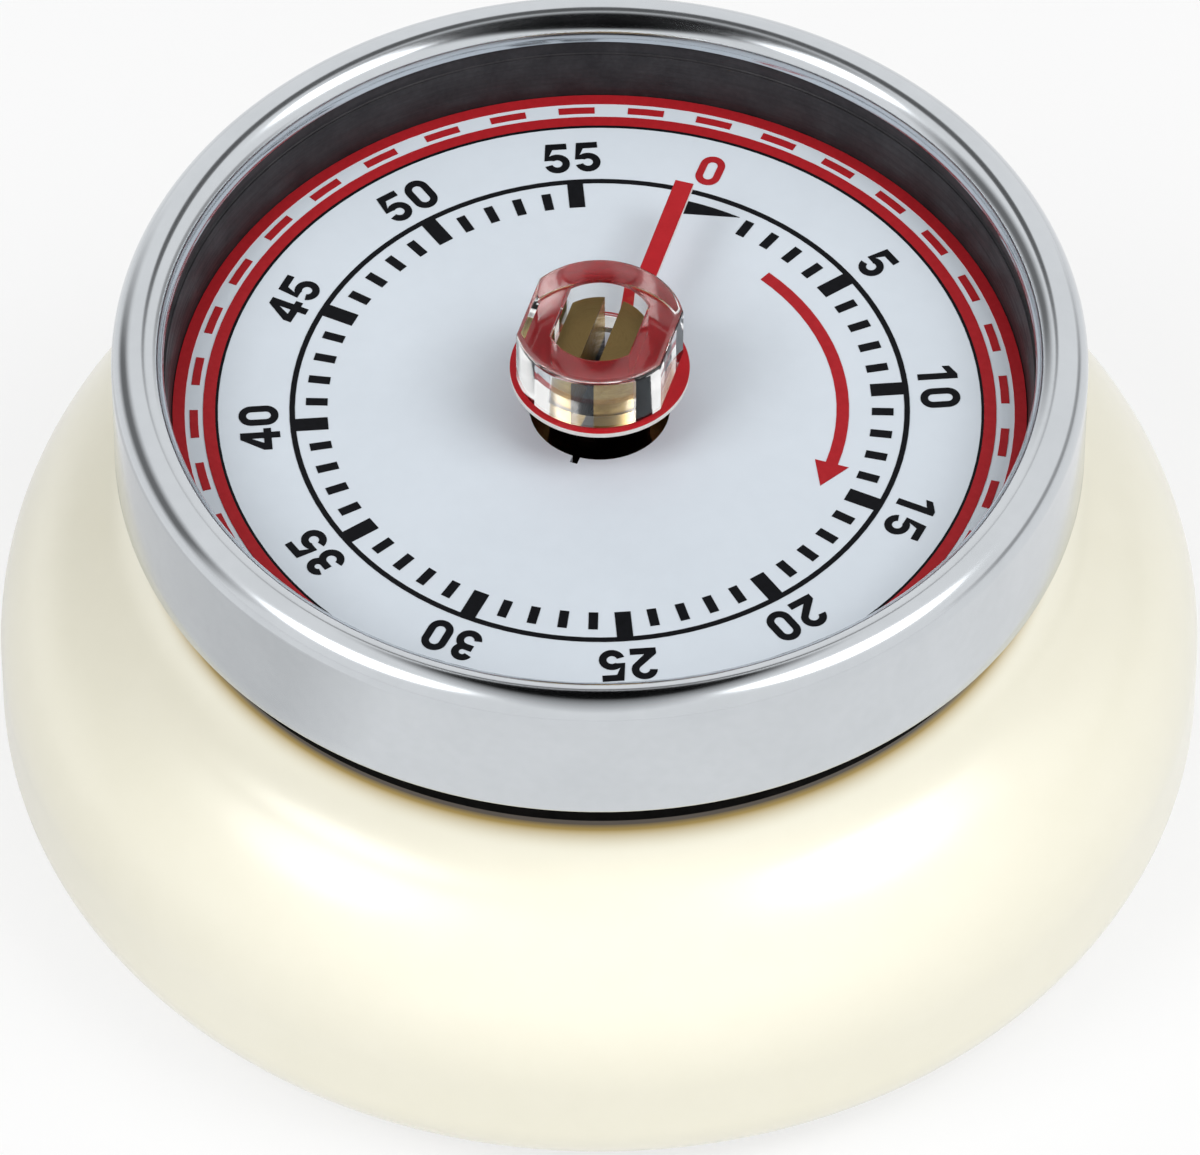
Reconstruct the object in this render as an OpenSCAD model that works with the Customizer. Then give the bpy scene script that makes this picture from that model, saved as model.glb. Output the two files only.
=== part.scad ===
// Magnetic kitchen timer: an enamelled steel case with a chromed bezel, a printed dial, a clear knob
// with a red pointer, and a clockwork movement with a bell inside.
// Millimetres. The origin is the centre of the underside, +Z comes out of the dial, and +Y points
// from the centre to the dial's zero.

/* [Case] */
// Diameter of the case at its widest
case_d = 70; // [67:0.5:76]
// Rounding of the case's shoulder
shoulder_r = 10.8; // [9.5:0.1:12]
// Rounding of the case's lower edge
foot_r = 4.7; // [4:0.1:6]
// Height of the straight band between shoulder and lower edge
band_h = 3.6; // [2:0.1:7]
// Diameter of the case's neck, under the bezel
neck_d = 52.6; // [52:0.1:54]
// Radius of the hollow curve between neck and shoulder
cove_r = 5; // [3.5:0.1:7]
// Thickness of the case's steel
shell_t = 0.9; // [0.6:0.1:1.2]
// Width of the flat ring that the case stands on
foot_land = 0.7; // [0.4:0.1:1.2]
// Width of the case's turned-in hem
hem_w = 2.8; // [1.5:0.1:4]

/* [Back cover and magnet] */
// Thickness of the back cover
cover_t = 1.4; // [1.2:0.1:2]
// How far the cover lies inside the case's foot
cover_recess = 0.2; // [0.1:0.05:0.4]
// Gap between the cover and the case's rebate
cover_fit = 0.1; // [0.05:0.05:0.2]
// Diameter of the magnet
magnet_d = 25; // [20:0.5:26]
// Thickness of the magnet
magnet_t = 4; // [3:0.1:4.5]
// Gap between the magnet and its cup
magnet_fit = 0.1; // [0.05:0.05:0.2]
// Thickness of the magnet cup's steel
cup_t = 0.8; // [0.5:0.1:1]
// Width of the magnet cup's flange
cup_flange_w = 3.2; // [3:0.1:3.8]
// Diameter of the rivets' shanks
rivet_d = 1.6; // [1.2:0.1:1.8]
// Number of rivets through the cup's flange
rivet_count = 3; // [3:1:6]
// Gap between the magnet cup and the hole in the cover
cup_hole_fit = 0.1; // [0.05:0.05:0.2]
// How far the three cover posts stand in from the movement plates' edge
post_inset = 3.9; // [3:0.1:4.3]
// Diameter of the cover posts
post_d = 4.4; // [3.6:0.1:4.8]
// Diameter of the cover screws
cover_screw_d = 1.8; // [1.4:0.1:2]
// Length of the cover screws under their heads
cover_screw_l = 6; // [4:0.1:7]
// Height of every screw's head
screw_head_h = 0.8; // [0.6:0.1:0.9]
// Radial gap between a screw, rivet or arbor and its hole
screw_fit = 0.05; // [0.02:0.01:0.08]
// Room beyond the tip of a screw
tip_room = 0.5; // [0.2:0.1:0.6]

/* [Bezel and dial] */
// How far the bezel stands out past the case's neck
bezel_proud = 1.6; // [1.4:0.05:2.2]
// Height of the bezel
bezel_h = 8.75; // [8.4:0.05:10]
// Thickness of the bezel's sheet
bezel_t = 0.6; // [0.4:0.1:0.8]
// Radius of the bead that the bezel's top edge is rolled to
bead_r = 1.5; // [1.3:0.05:1.6]
// How far the bezel's inner lip comes down below the bead's middle
lip_drop = 0.1; // [0.05:0.05:1]
// Gap between the bezel and the rib that it is pressed over
bezel_fit = 0.05; // [0.02:0.01:0.1]
// Height of the dark seat that shows between case and bezel
seat_h = 2.2; // [1.5:0.1:3]
// How far the dark seat stands proud of the case's neck
seat_proud = 0.3; // [0.1:0.05:0.4]
// Thickness of the dial surround's wall and skirt
surround_t = 1; // [0.8:0.1:1.1]
// Height of the rib's lower side above the bezel's lower edge
rib_lift = 0.3; // [0.2:0.1:0.5]
// Height of the rib that the bezel is pressed over
rib_h = 1.5; // [1:0.1:2]
// Depth of the surround's skirt inside the case's neck
skirt_h = 2; // [1.5:0.1:3]
// Gap between the skirt and the case's neck
skirt_fit = 0.1; // [0.05:0.05:0.2]
// Height of the dial's face above the bezel's lower edge
dial_rise = 3; // [2.6:0.1:3.4]
// Thickness of the dial plate
dial_t = 0.5; // [0.3:0.1:0.8]
// Gap between the dial plate and the wall round it
dial_fit = 0.05; // [0.02:0.01:0.1]
// How far the well's wall comes in past the bezel's lip where it meets the dial
well_in = 0.35; // [0.2:0.05:0.6]
// How far the well's wall stands outside the bezel's lip
well_clear = 0.2; // [0.1:0.05:0.3]
// How much the well narrows between the lip and its step
well_draft = 0.1; // [0.05:0.05:0.15]
// Depth of the step in the well's wall below the bezel's lip
well_step_drop = 1.05; // [0.8:0.05:1.6]
// Width of the step in the well's wall
well_step = 0.15; // [0.1:0.05:0.2]
// Diameter of the dial's centre hole
dial_hole_d = 8.1; // [7.4:0.1:9]
// Width of the notch in the centre hole
notch_w = 0.45; // [0.3:0.05:0.8]
// Depth of the notch in the centre hole
notch_depth = 0.5; // [0.3:0.05:0.8]
// Thickness of the ledge under the dial
ledge_t = 1; // [0.8:0.1:1.4]
// How far the ledge reaches inside the bosses under it
ledge_margin = 0.4; // [0.2:0.1:0.8]

/* [Dial print] */
// Thickness of the printed ink
ink_t = 0.04; // [0.02:0.01:0.08]
// Gap between the numerals and the black line inside the red bands
numeral_margin = 1.2; // [0.8:0.05:2]
// Width of the minute scale's circle
scale_line_w = 0.32; // [0.2:0.02:0.5]
// Width of a five-minute mark
long_mark_w = 0.92; // [0.6:0.02:1.1]
// Width of a minute mark
short_mark_w = 0.54; // [0.3:0.02:0.7]
// Length of the marks
mark_l = 1.25; // [0.8:0.05:1.6]
// Gap between the scale's circle and the minute marks
mark_gap = 0.62; // [0.3:0.02:1]
// Height of the numerals
digit_h = 2.3; // [1.8:0.05:2.6]
// Gap between the scale's circle and the numerals
digit_gap = 0.6; // [0.4:0.05:0.9]
// Width of each red band round the edge
band_w = 0.7; // [0.5:0.05:0.8]
// Width of the red dashes
dash_w = 0.48; // [0.3:0.02:0.6]
// Width of the pale lines on both sides of the dashes
pale_w = 0.28; // [0.2:0.02:0.35]
// Width of the black line inside the bands
rule_w = 0.16; // [0.1:0.02:0.25]
// Number of dashes round the edge
dash_count = 36; // [24:1:48]
// Distance from the marks' inner ends to the middle of the winding arrow
arrow_gap = 1.66; // [1.3:0.02:3]
// Width of the winding arrow's shaft
arrow_w = 0.72; // [0.4:0.02:0.8]
// How far the zero wedge stops short of the marks' inner ends
wedge_short = 0.2; // [0:0.05:0.4]

/* [Knob and pointer] */
// Height of the pointer's underside above the dial
pointer_rise = 3.1; // [2.8:0.1:3.4]
// Thickness of the pointer
pointer_t = 0.4; // [0.3:0.05:0.6]
// Diameter of the pointer's disc
pointer_disc_d = 10.3; // [10.1:0.1:11.5]
// Distance from the centre to the pointer's tip
pointer_reach = 15.2; // [12:0.1:17]
// Width of the pointer's finger
pointer_w = 1.1; // [0.8:0.05:1.6]
// How far before zero the pointer rests, in degrees
pointer_rest = 2.5; // [0:0.5:5]
// Diameter of the knob
knob_d = 9.7; // [9.2:0.1:10]
// Distance between the knob's two flats
knob_flats = 8.6; // [8:0.1:9.2]
// Height of the knob
knob_h = 3.9; // [3.4:0.1:6]
// Rounding of the knob's upper edge
knob_edge_r = 0.35; // [0.2:0.05:0.6]
// Gap between the knob and the arbor in it
knob_fit = 0.1; // [0.04:0.02:0.15]

/* [Movement] */
// Diameter of the winding arbor where it shows
arbor_d = 5.8; // [5.2:0.1:6.2]
// Distance between the two flats on the arbor's end
arbor_flats = 4.4; // [4.2:0.1:4.8]
// Depth of the arbor's end below the knob's top
arbor_recess = 1.2; // [0.5:0.1:1.8]
// Width of the slot in the arbor's end
slot_w = 1.1; // [0.6:0.1:1.4]
// Depth of the slot in the arbor's end
slot_depth = 6; // [4:0.1:7]
// Diameter of the arbor between the plates
core_d = 4; // [3.4:0.1:4.4]
// Diameter of the arbor's lower pivot
core_pivot_d = 2; // [1.4:0.1:2.4]
// Gap between the movement's plates and the surround's skirt
plate_clear = 0.8; // [0.5:0.1:1.2]
// Thickness of the movement's plates
plate_t = 1; // [0.8:0.1:1.3]
// Distance between the plates
plate_gap = 10; // [10:0.1:11]
// Length of the bosses that the front plate is screwed to
boss_l = 1.6; // [1.2:0.1:2.2]
// Diameter of the bosses
boss_d = 3; // [2.6:0.1:3.2]
// How far the bosses and the movement screws stand in from the plates' edge
boss_inset = 1.8; // [1.6:0.1:2.2]
// Diameter of the movement screws
movement_screw_d = 1.4; // [1:0.1:1.6]
// Length of the movement screws under their heads
movement_screw_l = 2; // [1.6:0.1:2.2]
// How far the pillars stand in from the plates' edge
pillar_inset = 2.5; // [2:0.1:2.8]
// Diameter of the pillars
pillar_d = 2.8; // [2.4:0.1:3]
// Height of the pillars' riveted ends over the front plate
rivet_over = 0.3; // [0.2:0.1:0.5]
// Length of the plate screws under their heads
plate_screw_l = 3; // [2.4:0.1:4]
// Diameter of the train's arbors
train_arbor_d = 1.4; // [1:0.1:1.5]
// Diameter of the train's pivots
pivot_d = 0.9; // [0.6:0.1:1]
// Radial clearance of a pivot in its plate
run_fit = 0.05; // [0.02:0.01:0.08]
// Play between an arbor's shoulder and the plates
end_play = 0.1; // [0.05:0.05:0.2]

/* [Gear train] */
// Teeth of the main wheel
main_teeth = 64; // [60:1:66]
// Teeth of the second wheel
second_teeth = 56; // [52:1:58]
// Teeth of the third wheel
third_teeth = 48; // [44:1:50]
// Leaves of every pinion
pinion_leaves = 8; // [8:1:9]
// Module of the main wheel and its pinion
main_module = 0.34; // [0.32:0.005:0.35]
// Module of the second wheel and its pinion
second_module = 0.3; // [0.28:0.005:0.31]
// Module of the third wheel and its pinion
third_module = 0.26; // [0.24:0.005:0.27]
// Thickness of the main wheel
main_t = 1; // [0.8:0.1:1.1]
// Thickness of the second wheel
second_t = 0.8; // [0.6:0.1:0.9]
// Thickness of the third wheel
third_t = 0.7; // [0.5:0.1:0.8]
// Play between the main wheel and the front plate
main_play = 0.3; // [0.2:0.05:0.4]
// Play between the ratchet and the second wheel
ratchet_play = 0.2; // [0.15:0.05:0.3]
// Clear height between two layers of the train
layer_gap = 0.6; // [0.5:0.05:0.7]
// How far a pinion stands out past its wheel on each side
pinion_over = 0.2; // [0.1:0.05:0.2]
// Radius of the second wheel's hub
second_hub_r = 2; // [1.6:0.1:2.4]
// Width of the second wheel's arms
second_arm_w = 1.3; // [1:0.1:1.8]
// Radius of the third wheel's hub
third_hub_r = 1.7; // [1.4:0.1:2]
// Width of the third wheel's arms
third_arm_w = 1.1; // [0.8:0.1:1.4]
// Thinning of every tooth, measured along the pitch circle
backlash = 0.07; // [0.05:0.01:0.1]
// Direction of the second arbor from the centre
second_dir = 150; // [145:1:155]
// Distance of the third arbor from the centre
third_place_r = 12.6; // [12.2:0.1:13]
// Distance of the escape arbor and the balance staff from the centre
escape_place_r = 14.6; // [14.3:0.1:15]

/* [Escapement] */
// Teeth of the escape wheel
escape_teeth = 15; // [13:1:17]
// Radius of the escape wheel's tips
escape_r = 4.5; // [4:0.1:4.6]
// Thickness of the escape wheel
escape_t = 0.7; // [0.5:0.1:0.8]
// Diameter of the escape arbor
escape_arbor_d = 1.1; // [1:0.05:1.2]
// Clear height between the third wheel and the escape wheel
escape_drop = 2; // [1.8:0.1:2.1]
// Distance from the escape arbor to the balance staff
pallet_centres = 5.9; // [5.8:0.1:6.3]
// Distance from the balance staff to each pallet pin
pallet_reach = 2.3; // [2.1:0.05:2.4]
// Diameter of the pallet pins
pallet_pin_d = 0.5; // [0.4:0.05:0.5]
// How far the pallet pins stand past the escape wheel
pin_over = 0.2; // [0.1:0.05:0.4]
// Thickness of the pallet fork
fork_t = 0.6; // [0.5:0.05:0.7]
// Gap on both sides of the pallet fork
fork_gap = 0.5; // [0.4:0.05:0.6]
// Half the length of the balance bar
balance_r = 4.7; // [4:0.1:4.8]
// Thickness of the balance bar
balance_t = 0.8; // [0.6:0.1:0.9]
// Width of the balance bar
balance_w = 1.4; // [1:0.1:1.6]
// Radius of the weights at the balance bar's ends
weight_r = 0.9; // [0.8:0.05:1.1]

/* [Mainspring, ratchet and bell] */
// Turns of the mainspring
spring_turns = 6; // [4:1:7]
// Thickness of the mainspring's strip
spring_t = 0.35; // [0.25:0.05:0.4]
// Width of the mainspring's strip
spring_w = 4.4; // [3.6:0.1:4.5]
// Radius of the mainspring's outermost turn
spring_r = 8.8; // [8:0.1:9]
// Gap between the arbor and the mainspring's innermost turn
spring_gap = 0.3; // [0.2:0.05:0.5]
// Diameter of the post that holds the mainspring's outer end
spring_post_d = 1.2; // [0.8:0.1:1.4]
// Outer radius of the ratchet wheel
ratchet_r = 4; // [3.6:0.1:4.3]
// Teeth of the ratchet wheel
ratchet_teeth = 12; // [10:1:16]
// Thickness of the ratchet wheel and its click
ratchet_t = 0.6; // [0.5:0.05:0.7]
// Radius of the strike cam
cam_r = 5; // [4:0.1:5.2]
// Thickness of the strike cam
cam_t = 1; // [0.7:0.1:1]
// Radius of the bell
bell_r = 15; // [14:0.1:15.2]
// Height of the bell
bell_h = 4.5; // [3.5:0.1:5]
// Rounding of the bell's upper edge
bell_edge_r = 2.5; // [1.8:0.1:3]
// Thickness of the bell's steel
bell_t = 0.8; // [0.6:0.1:1]
// Distance from the rear plate to the bell
bell_drop = 1.5; // [1.3:0.1:2]
// Distance of the hammer's arbor from the centre
hammer_place_r = 17; // [16.8:0.1:17.5]
// Diameter of the hammer's arbor
hammer_arbor_d = 1.6; // [1.2:0.1:1.8]
// Wall of the hubs on the hammer's arbor
hub_wall = 0.7; // [0.5:0.05:0.8]
// Thickness of the hammer's arm
hammer_arm_t = 0.8; // [0.6:0.05:0.9]
// Width of the hammer's arm
hammer_arm_w = 1.2; // [0.8:0.1:1.4]
// Gap between the hammer's arm and the rear plate
hammer_arm_gap = 0.4; // [0.3:0.05:0.5]
// Diameter of the hammer's head
hammer_head_d = 2.4; // [1.8:0.1:2.6]
// Gap between the resting hammer and the bell
hammer_gap = 0.6; // [0.5:0.05:0.8]
// How far above the bell's edge the hammer's head ends
hammer_lap = 1; // [0.5:0.1:1.5]
// Thickness of the hammer's tail
tail_t = 0.6; // [0.5:0.05:0.7]
// Width of the hammer's tail
tail_w = 1.2; // [1:0.05:1.4]
// Gap between the hammer's tail and the strike cam
tail_gap = 0.5; // [0.3:0.05:0.8]
// Thickness of the hammer's leaf spring
leaf_t = 0.25; // [0.15:0.05:0.3]
// Height of the hammer's leaf spring
leaf_h = 1; // [0.8:0.1:1.2]
// Gap between the leaf spring and the hammer's tail
leaf_gap = 0.05; // [0.03:0.01:0.1]
// Distance from the centre to the point where the leaf spring leans on the tail
leaf_touch_r = 11.5; // [10.5:0.1:12.5]
// Diameter of the stud that holds the leaf spring
leaf_stud_d = 1.2; // [1:0.1:1.3]
// Distance of the leaf spring's stud from the centre
leaf_stud_r = 18.4; // [18.2:0.1:18.6]

/* [Hidden] */
$fn = 96;
arc_steps = 18;
// How far a cut runs past the face that it opens
over = 0.5;
// Case
case_r = case_d / 2;
neck_r = neck_d / 2;
foot_x = case_r - foot_r;
shoulder_x = case_r - shoulder_r;
shoulder_z = foot_r + band_h;
cove_x = neck_r + cove_r;
cove_z = shoulder_z + sqrt(pow(shoulder_r + cove_r, 2) - pow(cove_x - shoulder_x, 2));
cove_turn = atan2(cove_z - shoulder_z, cove_x - shoulder_x);
rebate_r = foot_x - foot_land;
rebate_h = cover_recess + cover_t;
hem_top = rebate_h + shell_t;
hem_turn = asin((foot_r - hem_top) / (foot_r - shell_t));
// Back cover and magnet
cover_r = rebate_r - cover_fit;
cup_in_r = magnet_d / 2 + magnet_fit;
cup_r = cup_in_r + cup_t;
cup_flange_r = cup_r + cup_flange_w;
rivet_place_r = cup_r + cup_flange_w / 2;
rivet_head_r = 0.8 * rivet_d;
rivet_head_h = 0.35 * rivet_d;
screw_head_z = cover_recess + screw_head_h;
post_count = 3;
post_angle = 60;
// Bezel and dial
bezel_r = neck_r + bezel_proud;
bezel_z = cove_z + seat_h;
bead_x = bezel_r - bead_r;
bead_z = bezel_z + bezel_h - bead_r;
lip_r = bezel_r - 2 * bead_r;
lip_z = bead_z - lip_drop;
well_r = lip_r - well_in;
dial_z = bezel_z + dial_rise;
dial_r = well_r - dial_fit;
seat_r = neck_r + seat_proud;
rib_z = bezel_z + rib_lift;
rib_r = bezel_r - bezel_t - bezel_fit;
wall_r = rib_r - surround_t;
skirt_r = neck_r - shell_t - skirt_fit;
skirt_in_r = skirt_r - surround_t;
well_top_r = lip_r + well_clear;
well_step_z = lip_z - well_step_drop;
well_step_r = well_top_r - well_draft;
ledge_z = dial_z - dial_t - ledge_t;
// Dial print
minute_turn = 6;
rule_r = dial_r - 2 * band_w - 2 * pale_w - dash_w - rule_w;
digit_place_r = rule_r - numeral_margin - digit_h / 2;
scale_r = digit_place_r - digit_h / 2 - digit_gap;
mark_in_r = scale_r - scale_line_w - mark_gap - mark_l;
arrow_r = mark_in_r - arrow_gap;
digit_stroke = 0.19 * digit_h;
digit_w = 0.64 * digit_h;
digit_pitch = 0.78 * digit_h;
dash_share = 0.52;
arrow_from = 3;
arrow_neck = 13.8;
arrow_tip = 15.05;
wedge_from = -1.3;
wedge_to = 0.6;
last_minute = 55;
// Knob and pointer
pointer_z = dial_z + pointer_rise;
knob_z = pointer_z + pointer_t;
knob_top = knob_z + knob_h;
arbor_top = knob_top - arbor_recess;
arbor_r = arbor_d / 2;
// Movement
front_z = ledge_z - boss_l - plate_t;
rear_z = front_z - plate_gap - plate_t;
rear_top = rear_z + plate_t;
plate_r = skirt_in_r - plate_clear;
boss_place_r = plate_r - boss_inset;
boss_count = 4;
boss_angle = 60;
ledge_r = boss_place_r - boss_d / 2 - ledge_margin;
pillar_place_r = plate_r - pillar_inset;
pillar_count = 4;
pillar_angle = 15;
post_place_r = plate_r - post_inset;
plate_screw_d = pillar_d / 2;
main_z = front_z - main_play - main_t;
ratchet_z = main_z - ratchet_t;
second_z = ratchet_z - ratchet_play - second_t;
third_z = second_z - layer_gap - third_t;
cam_z = second_z - layer_gap - cam_t;
spring_z = cam_z - layer_gap - spring_w;
escape_z = third_z - escape_drop - escape_t;
fork_z = escape_z - fork_gap - fork_t;
balance_z = fork_z - fork_gap - balance_t;
// Arbor places, each gear pair at its own centre distance
function third_side(a, b, c) = acos((a * a + b * b - c * c) / (2 * a * b));
function centres(module_size, teeth) = module_size * (teeth + pinion_leaves) / 2;
second_place_r = centres(main_module, main_teeth);
third_dir = second_dir + third_side(second_place_r, third_place_r, centres(second_module, second_teeth));
escape_dir = third_dir + third_side(third_place_r, escape_place_r, centres(third_module, third_teeth));
balance_dir = escape_dir + 2 * asin(pallet_centres / (2 * escape_place_r));
hammer_dir = 330;
function polar(r, a) = [r * cos(a), r * sin(a)];
second_at = polar(second_place_r, second_dir);
third_at = polar(third_place_r, third_dir);
escape_at = polar(escape_place_r, escape_dir);
balance_at = polar(escape_place_r, balance_dir);
hammer_at = polar(hammer_place_r, hammer_dir);
function bearing(from, to) = atan2(to[1] - from[1], to[0] - from[0]);
main_to_second = bearing([0, 0], second_at);
second_to_third = bearing(second_at, third_at);
third_to_escape = bearing(third_at, escape_at);
// Escapement, mainspring and hammer
pallet_spread = 66;
spring_in_r = core_d / 2 + spring_gap;
spring_post_dir = 80;
spring_post_r = spring_r + spring_t / 2 + spring_post_d / 2 + screw_fit;
bell_top = rear_z - bell_drop;
hammer_arm_z = rear_z - hammer_arm_gap - hammer_arm_t;
hammer_hub_d = hammer_arbor_d + 2 * hub_wall;
hammer_head_r = bell_r + hammer_gap + hammer_head_d / 2;
hammer_head_dir = hammer_dir + 27;
hammer_head_low = bell_top - bell_h + hammer_lap;
tail_z = cam_z + (cam_t - tail_t) / 2;
tail_tip_r = cam_r + tail_gap;
leaf_stud_dir = hammer_dir + 23;
leaf_stud_at = polar(leaf_stud_r, leaf_stud_dir);

// Points and outlines

function arc(centre, r, from, to, steps = arc_steps) =
  [for (i = [0 : steps]) centre + polar(r, from + (to - from) * i / steps)];

// How far an involute has turned from its base circle, in degrees
function involute_turn(base, r) =
  let (a = acos(min(1, base / r))) tan(a) * 180 / PI - a;

// Outline of a gear with a 25 degree pressure angle and low teeth, one tooth centred on +X
function gear_points(module_size, teeth, addendum, dedendum) =
  let (
    pitch = module_size * teeth / 2,
    base = pitch * cos(25),
    root = pitch - dedendum * module_size,
    tip = pitch + addendum * module_size,
    low = max(base, root),
    half = 90 / teeth - backlash / 2 / pitch * 180 / PI + involute_turn(base, pitch),
    radii = [for (i = [0 : 3]) low + (tip - low) * i / 3]
  )
  [for (tooth = [0 : teeth - 1])
    let (a = 360 * tooth / teeth)
    each concat(
      [polar(root, a - half + involute_turn(base, low))],
      [for (r = radii) polar(r, a - half + involute_turn(base, r))],
      [for (i = [3 : -1 : 0]) polar(radii[i], a + half - involute_turn(base, radii[i]))],
      [polar(root, a + half - involute_turn(base, low))]
    )];

// Shared shapes

module tube(r_out, r_in, h) {
  difference() {
    cylinder(r = r_out, h = h);
    bore(r_in, 0, h);
  }
}

module ring_of(count, start, r) {
  for (i = [0 : count - 1])
    rotate(start + 360 * i / count) translate([r, 0, 0]) children();
}

module up(z) {
  translate([0, 0, z]) children();
}

module place(at, z = 0) {
  translate([at[0], at[1], z]) children();
}

// A hole that is open at both ends
module bore(r, from, to) {
  up(from - over) cylinder(r = r, h = to - from + 2 * over);
}

// A hole that is open at its lower end only
module sink(r, from, to) {
  up(from - over) cylinder(r = r, h = to - from + over);
}

module wheel(module_size, teeth, t, bore_r) {
  difference() {
    linear_extrude(t) polygon(gear_points(module_size, teeth, 0.7, 1.05));
    bore(bore_r, 0, t);
  }
}

// A wheel with its web cut out between four arms
module armed_wheel(module_size, teeth, t, bore_r, hub_r, arm_w) {
  rim_r = module_size * (teeth / 2 - 3.2);
  difference() {
    wheel(module_size, teeth, t, bore_r);
    for (q = [0 : 3]) rotate(45 + 90 * q) intersection() {
      up(-over) tube(rim_r, hub_r, t + 2 * over);
      translate([arm_w / 2, arm_w / 2, -over]) cube([rim_r, rim_r, t + 2 * over]);
    }
  }
}

module pinion(module_size, t, bore_r) {
  difference() {
    linear_extrude(t) polygon(gear_points(module_size, pinion_leaves, 0.85, 0.95));
    bore(bore_r, 0, t);
  }
}

// An arbor that stands between the plates, with a pivot in each
module train_arbor(d) {
  up(rear_top + end_play) cylinder(d = d, h = plate_gap - 2 * end_play);
  up(rear_z + end_play) cylinder(d = pivot_d, h = plate_gap + 2 * plate_t - 2 * end_play);
}

module screw(d, l, head_d, head_h) {
  cylinder(d = d, h = l);
  difference() {
    up(-head_h) cylinder(d = head_d, h = head_h);
    translate([-head_d, -d / 6, -head_h - over]) cube([2 * head_d, d / 3, head_h / 2 + over]);
  }
}

// Case

module base_shell() {
  color("ivory") rotate_extrude() polygon(concat(
    arc([cove_x, cove_z], cove_r, 180, 180 + cove_turn),
    arc([shoulder_x, shoulder_z], shoulder_r, cove_turn, 0),
    arc([foot_x, foot_r], foot_r, 0, -90),
    [[rebate_r, 0], [rebate_r, rebate_h], [rebate_r - hem_w, rebate_h], [rebate_r - hem_w, hem_top]],
    arc([foot_x, foot_r], foot_r - shell_t, -hem_turn, 0),
    arc([shoulder_x, shoulder_z], shoulder_r - shell_t, 0, cove_turn),
    arc([cove_x, cove_z], cove_r + shell_t, 180 + cove_turn, 180)
  ));
}

module back_cover() {
  color("dimgray") difference() {
    up(cover_recess) cylinder(r = cover_r, h = cover_t);
    bore(cup_r + cup_hole_fit, cover_recess, rebate_h);
    ring_of(rivet_count, 0, rivet_place_r) {
      bore(rivet_d / 2 + screw_fit, cover_recess, rebate_h);
      sink(rivet_head_r + screw_fit, cover_recess, cover_recess + rivet_head_h);
    }
    ring_of(post_count, post_angle, post_place_r) {
      bore(cover_screw_d / 2 + screw_fit, cover_recess, rebate_h);
      sink(cover_screw_d + screw_fit, cover_recess, screw_head_z);
    }
  }
}

module cover_screws() {
  color("silver") ring_of(post_count, post_angle, post_place_r)
    up(screw_head_z) screw(cover_screw_d, cover_screw_l, 2 * cover_screw_d, screw_head_h);
}

module cover_posts() {
  color("silver") ring_of(post_count, post_angle, post_place_r) difference() {
    up(rebate_h) cylinder(d = post_d, h = rear_z - rebate_h);
    sink(cover_screw_d / 2 + screw_fit, rebate_h, screw_head_z + cover_screw_l + tip_room);
  }
}

module magnet() {
  color("darkslategray") cylinder(d = magnet_d, h = magnet_t);
}

module magnet_cup() {
  color("lightsteelblue") difference() {
    union() {
      cylinder(r = cup_r, h = magnet_t + cup_t);
      up(rebate_h) cylinder(r = cup_flange_r, h = cup_t);
    }
    sink(cup_in_r, 0, magnet_t);
    ring_of(rivet_count, 0, rivet_place_r) bore(rivet_d / 2 + screw_fit, rebate_h, rebate_h + cup_t);
  }
}

module cup_rivets() {
  color("silver") ring_of(rivet_count, 0, rivet_place_r) up(cover_recess) {
    cylinder(r = rivet_head_r, h = rivet_head_h);
    cylinder(d = rivet_d, h = cover_t + cup_t + rivet_head_h);
    up(cover_t + cup_t) cylinder(r = rivet_head_r, h = rivet_head_h);
  }
}

// Bezel and dial

module bezel() {
  color("gainsboro") rotate_extrude() polygon(concat(
    [[bezel_r, bezel_z]],
    arc([bead_x, bead_z], bead_r, 0, 180),
    [[lip_r, lip_z], [lip_r + bezel_t, lip_z]],
    arc([bead_x, bead_z], bead_r - bezel_t, 180, 0),
    [[bezel_r - bezel_t, bezel_z]]
  ));
}

module dial_surround() {
  color("#2b2a2d") difference() {
    union() {
      rotate_extrude() polygon([
        [skirt_in_r, cove_z - skirt_h], [skirt_r, cove_z - skirt_h], [skirt_r, cove_z],
        [seat_r, cove_z], [seat_r, rib_z], [rib_r, rib_z], [rib_r, rib_z + rib_h],
        [wall_r, rib_z + rib_h], [wall_r, lip_z], [well_top_r, lip_z],
        [well_step_r, well_step_z], [well_step_r - well_step, well_step_z],
        [well_r, dial_z], [well_r, dial_z - dial_t],
        [ledge_r, dial_z - dial_t], [ledge_r, ledge_z], [skirt_in_r, ledge_z]
      ]);
      ring_of(boss_count, boss_angle, boss_place_r)
        up(ledge_z - boss_l) cylinder(d = boss_d, h = boss_l + ledge_t / 2);
    }
    ring_of(boss_count, boss_angle, boss_place_r)
      sink(movement_screw_d / 2 + screw_fit, ledge_z - boss_l, front_z + movement_screw_l + tip_room);
  }
}

module dial_plate() {
  color("#cfd8e2") up(dial_z - dial_t) difference() {
    cylinder(r = dial_r, h = dial_t);
    bore(dial_hole_d / 2, 0, dial_t);
    translate([-notch_w / 2, -dial_hole_d / 2 - notch_depth, -over])
      cube([notch_w, dial_hole_d / 2, dial_t + 2 * over]);
  }
}

// Dial print. Minute m lies at 6 degrees times m + 1, clockwise from +Y.

function minute_dir(m) = 90 - minute_turn * (m + 1);

module ink_ring(r_out, r_in) {
  tube(r_out, r_in, ink_t);
}

module mark(m, w, r_in, r_out) {
  rotate(minute_dir(m)) translate([r_in, -w / 2, 0]) cube([r_out - r_in, w, ink_t]);
}

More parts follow.
